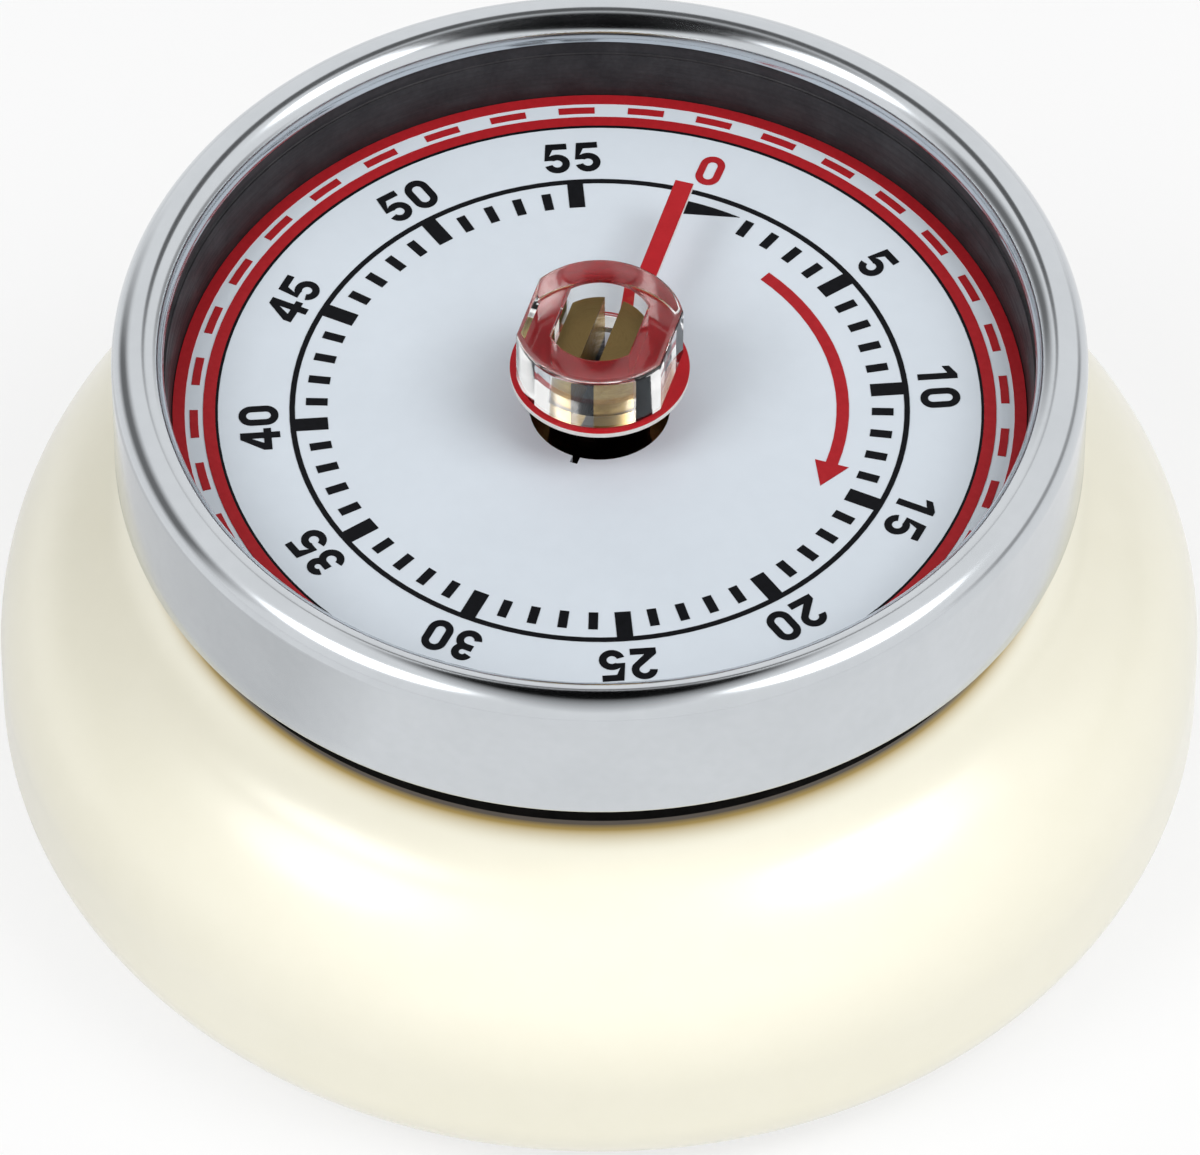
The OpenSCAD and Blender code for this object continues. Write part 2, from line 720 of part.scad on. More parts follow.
// A sector of a ring, between two directions
module ink_arc(r_out, r_in, from, to) {
  steps = max(2, ceil(abs(to - from) / 4));
  linear_extrude(ink_t) polygon(concat(
    arc([0, 0], r_out, from, to, steps), arc([0, 0], r_in, to, from, steps)));
}

// Numerals: each digit stands on its baseline, centred on X

module digit_0() {
  bow = digit_w / 2;
  hole = bow - digit_stroke;
  difference() {
    polygon(concat(arc([0, digit_h - bow], bow, 0, 180), arc([0, bow], bow, 180, 360)));
    polygon(concat(arc([0, digit_h - bow], hole, 0, 180), arc([0, bow], hole, 180, 360)));
  }
}

module digit_1() {
  right = digit_stroke * 0.8;
  left = right - digit_stroke;
  flag = right - digit_w * 0.66;
  polygon([[left, 0], [right, 0], [right, digit_h], [left + digit_stroke * 0.25, digit_h],
    [flag, digit_h * 0.82], [flag, digit_h * 0.64], [left, digit_h * 0.76]]);
}

module digit_2() {
  bow = digit_w / 2;
  top = [0, digit_h - bow];
  polygon(concat(
    arc(top, bow, 175, -30),
    [[-bow + digit_stroke * 1.5, digit_stroke], [bow, digit_stroke]],
    [[bow, 0], [-bow, 0], [-bow, digit_stroke]],
    arc(top, bow - digit_stroke, -38, 175)
  ));
}

module digit_3() {
  low_bow = digit_w / 2;
  high_bow = (digit_h + digit_stroke - 2 * low_bow) / 2;
  low = [0, low_bow];
  high = [0, digit_h - high_bow];
  polygon(concat(arc(high, high_bow, 165, -90), arc(high, high_bow - digit_stroke, -90, 165)));
  polygon(concat(arc(low, low_bow, 90, -165), arc(low, low_bow - digit_stroke, -165, 90)));
  translate([-digit_stroke, digit_h - 2 * high_bow]) square(digit_stroke);
}

module digit_4() {
  left = -digit_w * 0.56;
  right = digit_w * 0.34;
  bar = digit_h * 0.22;
  difference() {
    polygon([[right - digit_stroke, 0], [right, 0], [right, bar], [digit_w * 0.54, bar],
      [digit_w * 0.54, bar + digit_stroke], [right, bar + digit_stroke], [right, digit_h],
      [right - digit_stroke * 1.1, digit_h], [left, bar + digit_stroke * 1.1], [left, bar],
      [right - digit_stroke, bar]]);
    polygon([[right - digit_stroke, bar + digit_stroke], [right - digit_stroke, digit_h * 0.74],
      [left + digit_stroke * 1.15, bar + digit_stroke]]);
  }
}

module digit_5() {
  bow = digit_w / 2;
  low = [0, bow];
  polygon(concat(
    arc(low, bow, -165, 128),
    [[-bow + digit_stroke * 1.2, digit_h - digit_stroke], [bow * 0.86, digit_h - digit_stroke],
      [bow * 0.86, digit_h], [-bow + digit_stroke * 0.35, digit_h], [-bow, digit_h * 0.44],
      [-bow + digit_stroke, digit_h * 0.44]],
    arc(low, bow - digit_stroke, 125, -165)
  ));
}

module digit(d) {
  if (d == 0) digit_0();
  if (d == 1) digit_1();
  if (d == 2) digit_2();
  if (d == 3) digit_3();
  if (d == 4) digit_4();
  if (d == 5) digit_5();
}

module numeral(value, dir) {
  tens = floor(value / 10);
  rotate(dir - 90) translate([0, digit_place_r - digit_h / 2, 0]) linear_extrude(ink_t) {
    if (tens > 0) translate([-digit_pitch / 2, 0]) digit(tens);
    translate([tens > 0 ? digit_pitch / 2 : 0, 0]) digit(value % 10);
  }
}

module dial_print_black() {
  color("#18181c") up(dial_z) {
    ink_ring(scale_r, scale_r - scale_line_w);
    ink_ring(rule_r + rule_w, rule_r);
    for (m = [5 : 5 : last_minute]) {
      mark(m, long_mark_w, mark_in_r, scale_r - scale_line_w / 2);
      numeral(m, minute_dir(m));
    }
    for (m = [1 : last_minute - 1])
      if (m % 5 != 0) mark(m, short_mark_w, mark_in_r, mark_in_r + mark_l);
    linear_extrude(ink_t) polygon(concat(
      arc([0, 0], mark_in_r + mark_l, minute_dir(wedge_from), minute_dir(wedge_to), 4),
      [polar(mark_in_r + wedge_short, minute_dir(wedge_from))]));
  }
}

module dial_print_red() {
  dash_turn = 360 / dash_count;
  dash_out = dial_r - band_w - pale_w;
  head_w = 1.4 * arrow_w;
  color("#b81e21") up(dial_z) {
    ink_ring(dial_r, dial_r - band_w);
    ink_ring(rule_r + rule_w + band_w, rule_r + rule_w);
    for (i = [0 : dash_count - 1])
      ink_arc(dash_out, dash_out - dash_w, i * dash_turn, (i + dash_share) * dash_turn);
    ink_arc(arrow_r + arrow_w / 2, arrow_r - arrow_w / 2, minute_dir(arrow_from), minute_dir(arrow_neck));
    linear_extrude(ink_t) polygon([
      polar(arrow_r + head_w, minute_dir(arrow_neck)), polar(arrow_r, minute_dir(arrow_tip)),
      polar(arrow_r - head_w, minute_dir(arrow_neck))]);
    numeral(0, 90);
  }
}

// Knob, pointer and winding arbor

// A round bar with two flats, the flats facing +X and -X
module flatted(d, flats, h) {
  intersection() {
    cylinder(d = d, h = h);
    translate([-flats / 2, -d, -over]) cube([flats, 2 * d, h + 2 * over]);
  }
}

// The hole for the arbor's flatted end, through a piece of height h
module arbor_hole(h) {
  up(-over) flatted(arbor_d + 2 * knob_fit, arbor_flats + 2 * knob_fit, h + 2 * over);
}

module knob() {
  r = knob_d / 2;
  edge = [r - knob_edge_r, knob_h - knob_edge_r];
  color("whitesmoke", 0.4) up(knob_z) rotate(pointer_rest) difference() {
    intersection() {
      rotate_extrude() polygon(concat([[0, 0], [r, 0]], arc(edge, knob_edge_r, 0, 90, 6), [[0, knob_h]]));
      translate([-knob_flats / 2, -knob_d, -over]) cube([knob_flats, 2 * knob_d, knob_h + 2 * over]);
    }
    arbor_hole(knob_h);
  }
}

// The finger's left edge, which the time is read at, lies on a radius
module pointer() {
  color("crimson") up(pointer_z) rotate(pointer_rest) difference() {
    union() {
      cylinder(d = pointer_disc_d, h = pointer_t);
      cube([pointer_w, pointer_reach, pointer_t]);
    }
    arbor_hole(pointer_t);
  }
}

module winding_arbor() {
  flats_h = arbor_top - pointer_z;
  color("darkgoldenrod") rotate(pointer_rest) difference() {
    union() {
      up(front_z - end_play) cylinder(r = arbor_r, h = pointer_z - front_z + end_play);
      up(pointer_z) flatted(arbor_d, arbor_flats, flats_h);
      up(rear_top + end_play) cylinder(d = core_d, h = front_z - rear_top - end_play);
      up(rear_z + end_play) cylinder(d = core_pivot_d, h = plate_t + end_play);
    }
    translate([-slot_w / 2, -arbor_d, arbor_top - slot_depth]) cube([slot_w, 2 * arbor_d, slot_depth + over]);
  }
}

module main_wheel() {
  color("goldenrod") up(main_z) rotate(main_to_second)
    wheel(main_module, main_teeth, main_t, core_d / 2 + screw_fit);
}

module ratchet_wheel() {
  tooth_turn = 360 / ratchet_teeth;
  color("slategray") up(ratchet_z) difference() {
    linear_extrude(ratchet_t) polygon([for (i = [0 : ratchet_teeth - 1])
      each [polar(ratchet_r, i * tooth_turn), polar(0.8 * ratchet_r, (i + 0.12) * tooth_turn)]]);
    bore(core_d / 2 + screw_fit, 0, ratchet_t);
  }
}

// The click lies on the main wheel, with its nose behind one ratchet tooth
module ratchet_click() {
  eye_r = 0.22 * ratchet_r;
  pivot = polar(1.65 * ratchet_r, 60);
  nose = polar(1.025 * ratchet_r, 2);
  back = polar(1.22 * ratchet_r, 8);
  color("dimgray") up(ratchet_z) linear_extrude(ratchet_t) {
    translate(pivot) circle(r = eye_r);
    polygon([nose, back, pivot + polar(0.95 * eye_r, 90), pivot - polar(0.95 * eye_r, 60)]);
  }
}

module strike_cam() {
  color("peru") up(cam_z) difference() {
    cylinder(r = cam_r, h = cam_t);
    bore(core_d / 2 + screw_fit, 0, cam_t);
    up(-over) linear_extrude(cam_t + 2 * over) polygon([polar(0.7 * cam_r, hammer_dir),
      polar(cam_r + over, hammer_dir - 20), polar(cam_r + over, hammer_dir + 8)]);
  }
}

// Movement frame

module pivot_holes(z) {
  for (at = [second_at, third_at, escape_at, balance_at])
    place(at) bore(pivot_d / 2 + run_fit, z, z + plate_t);
}

module front_plate() {
  color("burlywood") difference() {
    up(front_z) cylinder(r = plate_r, h = plate_t);
    bore(arbor_r + run_fit, front_z, front_z + plate_t);
    pivot_holes(front_z);
    place(hammer_at) bore(pivot_d / 2 + run_fit, front_z, front_z + plate_t);
    ring_of(pillar_count, pillar_angle, pillar_place_r)
      bore(plate_screw_d / 2 + screw_fit, front_z, front_z + plate_t);
    ring_of(boss_count, boss_angle, boss_place_r)
      bore(movement_screw_d / 2 + screw_fit, front_z, front_z + plate_t);
  }
}

module rear_plate() {
  color("burlywood") difference() {
    up(rear_z) cylinder(r = plate_r, h = plate_t);
    bore(core_pivot_d / 2 + run_fit, rear_z, rear_top);
    pivot_holes(rear_z);
    place(hammer_at) bore(hammer_arbor_d / 2 + run_fit, rear_z, rear_top);
    ring_of(pillar_count, pillar_angle, pillar_place_r)
      bore(plate_screw_d / 2 + screw_fit, rear_z, rear_top);
  }
}

// Each pillar is riveted over the front plate and drilled for a screw at the rear
module pillars() {
  color("silver") ring_of(pillar_count, pillar_angle, pillar_place_r) difference() {
    union() {
      up(rear_top) cylinder(d = pillar_d, h = plate_gap);
      up(front_z) cylinder(d = plate_screw_d, h = plate_t + rivet_over);
    }
    sink(plate_screw_d / 2 + screw_fit, rear_top, rear_z + plate_screw_l + tip_room);
  }
}

module plate_screws() {
  color("silver") ring_of(pillar_count, pillar_angle, pillar_place_r)
    up(rear_z) screw(plate_screw_d, plate_screw_l, pillar_d, screw_head_h);
}

module movement_screws() {
  color("silver") ring_of(boss_count, boss_angle, boss_place_r)
    up(front_z) screw(movement_screw_d, movement_screw_l, 1.8 * movement_screw_d, screw_head_h);
}

// Gear train

module second_arbor() {
  color("lightgray") place(second_at) train_arbor(train_arbor_d);
}

module second_pinion() {
  color("darkgray") place(second_at, main_z - pinion_over)
    rotate(main_to_second + 180 + 180 / pinion_leaves)
      pinion(main_module, main_t + 2 * pinion_over, train_arbor_d / 2 + screw_fit);
}

module second_wheel() {
  color("goldenrod") place(second_at, second_z) rotate(second_to_third)
    armed_wheel(second_module, second_teeth, second_t,
      train_arbor_d / 2 + screw_fit, second_hub_r, second_arm_w);
}

module third_arbor() {
  color("lightgray") place(third_at) train_arbor(train_arbor_d);
}

module third_pinion() {
  color("darkgray") place(third_at, second_z - pinion_over)
    rotate(second_to_third + 180 + 180 / pinion_leaves)
      pinion(second_module, second_t + 2 * pinion_over, train_arbor_d / 2 + screw_fit);
}

module third_wheel() {
  color("goldenrod") place(third_at, third_z) rotate(third_to_escape)
    armed_wheel(third_module, third_teeth, third_t,
      train_arbor_d / 2 + screw_fit, third_hub_r, third_arm_w);
}

module escape_arbor() {
  color("lightgray") place(escape_at) train_arbor(escape_arbor_d);
}

module escape_pinion() {
  color("darkgray") place(escape_at, third_z - pinion_over)
    rotate(third_to_escape + 180 + 180 / pinion_leaves)
      pinion(third_module, third_t + 2 * pinion_over, escape_arbor_d / 2 + screw_fit);
}

module escape_wheel() {
  tooth_turn = 360 / escape_teeth;
  color("gold") place(escape_at, escape_z) difference() {
    linear_extrude(escape_t) polygon([for (i = [0 : escape_teeth - 1])
      let (a = i * tooth_turn)
      each [polar(escape_r, a), polar(escape_r, a + 0.12 * tooth_turn),
        polar(0.72 * escape_r, a + 0.32 * tooth_turn), polar(0.72 * escape_r, a + 0.72 * tooth_turn)]]);
    bore(escape_arbor_d / 2 + screw_fit, 0, escape_t);
    ring_of(5, 18, 0.46 * escape_r) bore(0.17 * escape_r, 0, escape_t);
  }
}

// Escapement

module balance_staff() {
  color("lightgray") place(balance_at) train_arbor(train_arbor_d);
}

module pallet_fork() {
  to_escape = bearing(balance_at, escape_at);
  pin_top = escape_z + escape_t + pin_over;
  color("silver") place(balance_at) difference() {
    union() {
      up(fork_z) cylinder(r = train_arbor_d, h = fork_t);
      for (side = [-1, 1]) rotate(to_escape + side * pallet_spread) {
        up(fork_z) translate([0, -pallet_pin_d, 0]) cube([pallet_reach, 2 * pallet_pin_d, fork_t]);
        translate([pallet_reach, 0, fork_z]) cylinder(r = pallet_pin_d, h = fork_t);
        translate([pallet_reach, 0, fork_z]) cylinder(d = pallet_pin_d, h = pin_top - fork_z);
      }
    }
    bore(train_arbor_d / 2 + screw_fit, fork_z, fork_z + fork_t);
  }
}

module balance_bar() {
  arm = balance_r - weight_r;
  color("goldenrod") place(balance_at, balance_z) rotate(bearing(balance_at, [0, 0]) + 90) difference() {
    union() {
      cylinder(r = train_arbor_d, h = balance_t);
      translate([-arm, -balance_w / 2, 0]) cube([2 * arm, balance_w, balance_t]);
      for (side = [-1, 1]) translate([side * arm, 0, 0]) cylinder(r = weight_r, h = balance_t);
    }
    bore(train_arbor_d / 2 + screw_fit, 0, balance_t);
  }
}

// Mainspring: one flat strip, wound from the arbor out to its post

module mainspring() {
  steps = 24 * spring_turns;
  function turn_r(i) = spring_in_r + spring_t / 2 + (spring_r - spring_in_r - spring_t / 2) * i / steps;
  function turn_dir(i) = spring_post_dir - 360 * spring_turns * (1 - i / steps);
  color("steelblue") up(spring_z) linear_extrude(spring_w) polygon(concat(
    [for (i = [0 : steps]) polar(turn_r(i) + spring_t / 2, turn_dir(i))],
    [for (i = [steps : -1 : 0]) polar(turn_r(i) - spring_t / 2, turn_dir(i))]
  ));
}

module spring_post() {
  color("silver") rotate(spring_post_dir) translate([spring_post_r, 0, rear_top])
    cylinder(d = spring_post_d, h = spring_z + spring_w - rear_top);
}

// Bell and hammer

module bell() {
  inner_edge_r = bell_edge_r - bell_t;
  bend = [bell_r - bell_edge_r, bell_top - bell_edge_r];
  color("lightsteelblue") difference() {
    rotate_extrude() polygon(concat(
      [[0, bell_top]], arc(bend, bell_edge_r, 90, 0, 8),
      [[bell_r, bell_top - bell_h], [bell_r - bell_t, bell_top - bell_h]],
      arc(bend, inner_edge_r, 0, 90, 8), [[0, bell_top - bell_t]]));
    bore(plate_screw_d / 2 + screw_fit, bell_top - bell_t, bell_top);
  }
}

module bell_post() {
  color("silver") difference() {
    union() {
      up(bell_top) cylinder(r = 1.6 * plate_screw_d, h = bell_drop);
      up(rear_z - bell_drop / 2) cylinder(r = 2.4 * plate_screw_d, h = bell_drop / 2);
    }
    sink(plate_screw_d / 2 + screw_fit, bell_top, bell_top + 0.8 * bell_drop);
  }
}

module bell_screw() {
  color("silver") up(bell_top - bell_t)
    screw(plate_screw_d, bell_t + 0.7 * bell_drop, 2.4 * plate_screw_d, screw_head_h);
}

module hammer_arbor() {
  color("lightgray") place(hammer_at) {
    up(hammer_arm_z) cylinder(d = hammer_arbor_d, h = front_z - end_play - hammer_arm_z);
    up(front_z - end_play) cylinder(d = pivot_d, h = plate_t);
  }
}

module hammer_arm() {
  head_at = polar(hammer_head_r, hammer_head_dir);
  reach = norm(head_at - hammer_at);
  color("gray") difference() {
    union() {
      place(hammer_at, hammer_arm_z) {
        cylinder(d = hammer_hub_d, h = hammer_arm_t);
        rotate(bearing(hammer_at, head_at)) translate([0, -hammer_arm_w / 2, 0])
          cube([reach, hammer_arm_w, hammer_arm_t]);
      }
      place(head_at, hammer_head_low)
        cylinder(d = hammer_head_d, h = hammer_arm_z + hammer_arm_t - hammer_head_low);
    }
    place(hammer_at) bore(hammer_arbor_d / 2 + screw_fit, hammer_arm_z, hammer_arm_z + hammer_arm_t);
  }
}

module hammer_tail() {
  color("gray") place(hammer_at, tail_z) difference() {
    union() {
      cylinder(d = hammer_hub_d, h = tail_t);
      rotate(hammer_dir + 180) translate([0, -tail_w / 2, 0])
        cube([hammer_place_r - tail_tip_r, tail_w, tail_t]);
    }
    bore(hammer_arbor_d / 2 + screw_fit, 0, tail_t);
  }
}

// A leaf spring on its own stud, which leans on the hammer's tail
module hammer_spring() {
  touch = polar(leaf_touch_r, hammer_dir) + polar(tail_w / 2 + leaf_gap + leaf_t / 2, hammer_dir + 90);
  run = norm(touch - leaf_stud_at);
  color("steelblue") {
    place(leaf_stud_at, rear_top) cylinder(d = leaf_stud_d, h = tail_z + leaf_h - rear_top);
    place(leaf_stud_at, tail_z) rotate(bearing(leaf_stud_at, touch)) translate([0, -leaf_t / 2, 0])
      cube([run, leaf_t, leaf_h]);
  }
}

base_shell();
back_cover();
cover_screws();
cover_posts();
magnet();
magnet_cup();
cup_rivets();
bezel();
dial_surround();
dial_plate();
dial_print_black();
dial_print_red();
knob();
pointer();
winding_arbor();
main_wheel();
ratchet_wheel();
ratchet_click();
strike_cam();
front_plate();
rear_plate();
pillars();
plate_screws();
movement_screws();
second_arbor();
second_pinion();
second_wheel();
third_arbor();
third_pinion();
third_wheel();
escape_arbor();
escape_pinion();
escape_wheel();
balance_staff();
pallet_fork();
balance_bar();
mainspring();
spring_post();
bell();
bell_post();
bell_screw();
hammer_arbor();
hammer_arm();
hammer_tail();
hammer_spring();
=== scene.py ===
"""Looks of a round magnetic kitchen timer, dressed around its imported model.

Objects are in metres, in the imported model's own frame: the origin is the centre of the underside,
+Z comes out of the dial, and +Y points from the centre to the dial's zero. The sub-assemblies' sizes
are millimetres, and turn into metres where a mesh is made.
"""

import logging
import math
from dataclasses import dataclass
from enum import Enum
from typing import Callable, Optional, Sequence, Union

import bmesh
import bpy
from mathutils import Matrix, Vector

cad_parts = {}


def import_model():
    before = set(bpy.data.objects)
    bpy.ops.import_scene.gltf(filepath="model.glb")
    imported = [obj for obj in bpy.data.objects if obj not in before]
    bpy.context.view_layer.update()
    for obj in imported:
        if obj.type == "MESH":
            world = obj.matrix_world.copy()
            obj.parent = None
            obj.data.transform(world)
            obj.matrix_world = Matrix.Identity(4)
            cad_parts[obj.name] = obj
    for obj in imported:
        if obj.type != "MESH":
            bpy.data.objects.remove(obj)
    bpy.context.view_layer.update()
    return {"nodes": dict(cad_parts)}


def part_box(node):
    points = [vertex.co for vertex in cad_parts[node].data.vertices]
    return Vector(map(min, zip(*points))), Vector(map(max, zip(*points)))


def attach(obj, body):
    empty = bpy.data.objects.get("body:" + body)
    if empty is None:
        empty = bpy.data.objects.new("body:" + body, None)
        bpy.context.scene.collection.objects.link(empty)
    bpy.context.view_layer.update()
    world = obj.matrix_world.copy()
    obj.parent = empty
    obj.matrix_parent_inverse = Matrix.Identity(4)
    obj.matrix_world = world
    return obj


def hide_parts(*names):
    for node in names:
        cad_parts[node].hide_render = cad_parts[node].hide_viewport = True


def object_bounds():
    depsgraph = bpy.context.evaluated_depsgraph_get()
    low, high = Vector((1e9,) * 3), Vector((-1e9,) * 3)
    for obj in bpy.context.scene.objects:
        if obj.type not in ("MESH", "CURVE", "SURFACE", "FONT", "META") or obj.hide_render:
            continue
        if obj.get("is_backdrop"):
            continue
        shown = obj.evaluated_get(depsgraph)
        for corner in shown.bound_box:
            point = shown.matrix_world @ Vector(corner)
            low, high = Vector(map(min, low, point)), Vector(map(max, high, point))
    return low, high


LOG = logging.getLogger("kitchen_timer")
MM = 0.001
IMAGE_WIDTH = 1200
SENSOR_WIDTH = 36.0
TURN_STEPS = 256
OVAL_STEPS = 96
SHARP_ANGLE = math.radians(28)
WELD_REACH = 1e-6
BROKEN_EDGE_STEPS = 2
BROKEN_EDGE_ANGLE = math.radians(40)
WHITE = (1.0, 1.0, 1.0, 1.0)

Point = tuple[float, float]
Colour = tuple[int, int, int]
Ring = list[Vector]
Piece = bpy.types.Object
Tree = bpy.types.NodeTree
Socket = bpy.types.NodeSocket
Value = Union[float, tuple, Socket]


class Body(Enum):
    """The bodies that new pieces ride on."""

    CASE = "case"
    WINDER = "winder"


class Slot(Enum):
    """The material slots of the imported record."""

    ENAMEL = "enamel"
    COVER_PAINT = "cover_paint"
    STEEL = "steel"
    FERRITE = "ferrite"
    CHROME = "chrome"
    CHARCOAL = "charcoal"
    DIAL_LACQUER = "dial_lacquer"
    INK_BLACK = "ink_black"
    INK_RED = "ink_red"
    ACRYLIC = "acrylic"
    POINTER_RED = "pointer_red"
    BRASS = "brass"
    PLATE_BRASS = "plate_brass"
    SPRING_STEEL = "spring_steel"
    BELL_STEEL = "bell_steel"


class Effect(Enum):
    """Surface effects that several finishes share."""

    MOTTLE = "mottle"
    TURNED = "turned_lines"
    SPECKS = "specks"
    EDGE = "edge_wear"


# Points and meshes


def arc(centre: Point, radius: float, start: float, end: float, steps: int) -> list[Point]:
    """Points along an arc.

    Args:
        centre: Middle of the arc.
        radius: Radius of the arc.
        start: First direction, in degrees.
        end: Last direction, in degrees.
        steps: Number of equal steps.

    Returns:
        The points, both ends included.
    """
    turns = (math.radians(start + (end - start) * i / steps) for i in range(steps + 1))
    return [(centre[0] + radius * math.cos(a), centre[1] + radius * math.sin(a)) for a in turns]


def flatted(diameter: float, flats: float, steps: int = 48) -> list[Point]:
    """Outline of a round bar with two flats that face +X and -X.

    Args:
        diameter: Diameter of the round stretches.
        flats: Distance between the flats.
        steps: Steps along each round stretch, and half as many along each flat.

    Returns:
        The closed outline, counter-clockwise, with the same count for every size.
    """
    corner = math.degrees(math.acos(min(1.0, flats / diameter)))
    far = arc((0, 0), diameter / 2, corner, 180 - corner, steps)
    near = arc((0, 0), diameter / 2, 180 + corner, 360 - corner, steps)
    side = far[-1][1]
    rise = [side * (1 - 4 * i / steps) for i in range(1, steps // 2)]
    left = [(-flats / 2, y) for y in rise]
    right = [(flats / 2, -y) for y in rise]
    return far + left + near + right


def at_height(outline: Sequence[Point], z: float) -> Ring:
    """The outline's points at a height, in metres."""
    return [Vector((x, y, z)) * MM for x, y in outline]


def add_object(name: str, content: bpy.types.ID) -> Piece:
    """Adds an object to the scene.

    Args:
        name: Name of the object.
        content: Its mesh, lamp or camera.

    Returns:
        The new object.
    """
    piece = bpy.data.objects.new(name, content)
    bpy.context.scene.collection.objects.link(piece)
    return piece


def ring_mesh(name: str, rings: Sequence[Ring]) -> Piece:
    """A closed skin through rings of equal count, joined from the last ring to the first.

    Args:
        name: Name of the piece.
        rings: The rings, in order along the skin.

    Returns:
        The new object, smooth but for its sharp edges.
    """
    count = len(rings[0])
    total = len(rings)
    faces = []
    for i in range(total):
        ahead = (i + 1) % total
        for j in range(count):
            side = (j + 1) % count
            faces.append((i * count + j, i * count + side, ahead * count + side, ahead * count + j))
    mesh = bpy.data.meshes.new(name)
    mesh.from_pydata([p for ring in rings for p in ring], [], faces)
    shaper = bmesh.new()
    shaper.from_mesh(mesh)
    bmesh.ops.recalc_face_normals(shaper, faces=shaper.faces)
    shaper.to_mesh(mesh)
    shaper.free()
    mesh.shade_smooth()
    mesh.set_sharp_from_angle(angle=SHARP_ANGLE)
    return add_object(name, mesh)


def lathe(name: str, profile: Sequence[Point]) -> Piece:
    """Turns a closed profile about Z.

    Args:
        name: Name of the piece.
        profile: Radius and height of each point, in millimetres.

    Returns:
        The new object.
    """
    circle = arc((0, 0), 1.0, 0, 360 - 360 / TURN_STEPS, TURN_STEPS - 1)
    return ring_mesh(name, [at_height([(x * r, y * r) for x, y in circle], z) for r, z in profile])


def soften(piece: Piece, width: float) -> None:
    """Breaks a CAD node's sharp edges, as far as its triangles leave room.

    Args:
        piece: The node's object.
        width: Greatest width of a broken edge, in millimetres. Thin triangles keep most far narrower.
    """
    weld = piece.modifiers.new("weld", "WELD")
    weld.merge_threshold = WELD_REACH
    bevel = piece.modifiers.new("broken_edges", "BEVEL")
    bevel.width = width * MM
    bevel.segments = BROKEN_EDGE_STEPS
    bevel.limit_method = "ANGLE"
    bevel.angle_limit = BROKEN_EDGE_ANGLE


# Shader nodes


def linear(colour: Colour) -> tuple[float, float, float, float]:
    """A display colour as the shader's linear colour.

    Args:
        colour: Red, green and blue, from 0 to 255.

    Returns:
        Red, green and blue from 0 to 1, and an alpha of 1.
    """
    shares = (c / 255 for c in colour)
    red, green, blue = (s / 12.92 if s <= 0.04045 else ((s + 0.055) / 1.055) ** 2.4 for s in shares)
    return (red, green, blue, 1.0)


class Net:
    """Adds nodes to one node tree and joins them."""

    # The Mix node's sockets for colours, whose names it also uses for other types
    MIX_FIRST, MIX_SECOND, MIX_RESULT = 6, 7, 2

    def __init__(self, tree: Tree) -> None:
        """Starts from an empty tree."""
        self.tree = tree
        tree.nodes.clear()

    def add(self, kind: str, inputs: Optional[dict] = None, **settings: object) -> bpy.types.Node:
        """Adds a node.

        Args:
            kind: Blender's name of the node's type.
            inputs: Values, or sockets to join, by the input's name or number.
            **settings: Properties of the node itself.

        Returns:
            The new node.
        """
        node = self.tree.nodes.new(kind)
        for name, value in settings.items():
            setattr(node, name, value)
        for name, value in (inputs or {}).items():
            self.feed(node.inputs[name], value)
        return node

    def feed(self, target: Socket, value: Value) -> None:
        """Joins a socket to the target, or sets the target's own value.

        Args:
            target: The input to feed.
            value: An output to join it to, or a plain value.
        """
        if isinstance(value, bpy.types.NodeSocket):
            self.tree.links.new(value, target)
        else:
            target.default_value = value

    def math(self, operation: str, first: Value, second: Value = 0.0) -> Socket:
        """The result of a Math node on two values."""
        return self.add("ShaderNodeMath", {0: first, 1: second}, operation=operation).outputs[0]

    def point(self) -> Socket:
        """The point on the surface, in the object's own frame."""
        return self.add("ShaderNodeTexCoord").outputs["Object"]

    def noise(self, point: Socket, scale: Value, detail: float) -> Socket:
        """A cloudy value of about 0 to 1."""
        inputs = {"Vector": point, "Scale": scale, "Detail": detail}
        return self.add("ShaderNodeTexNoise", inputs).outputs[0]

    def spread(self, value: Socket, low: Value, high: Value, start: float, end: float) -> Socket:
        """A value mapped from start..end to low..high."""
        inputs = {"Value": value, "From Min": start, "From Max": end, "To Min": low, "To Max": high}
        return self.add("ShaderNodeMapRange", inputs).outputs[0]

    def blend(self, share: Value, first: Value, second: Value) -> Socket:
        """A colour mixed from two colours.

        Args:
            share: How much there is of the second colour, from 0 to 1.
            first: The colour at 0.
            second: The colour at 1.

        Returns:
            The mixed colour.
        """
        inputs = {"Factor": share, self.MIX_FIRST: first, self.MIX_SECOND: second}
        return self.add("ShaderNodeMix", inputs, data_type="RGBA").outputs[self.MIX_RESULT]


def new_material(name: str) -> tuple[bpy.types.Material, Net]:
    """A new material.

    Args:
        name: Name of the material.

    Returns:
        The material, and its empty node tree.
    """
    material = bpy.data.materials.new(name)
    material.use_nodes = True
    return material, Net(material.node_tree)


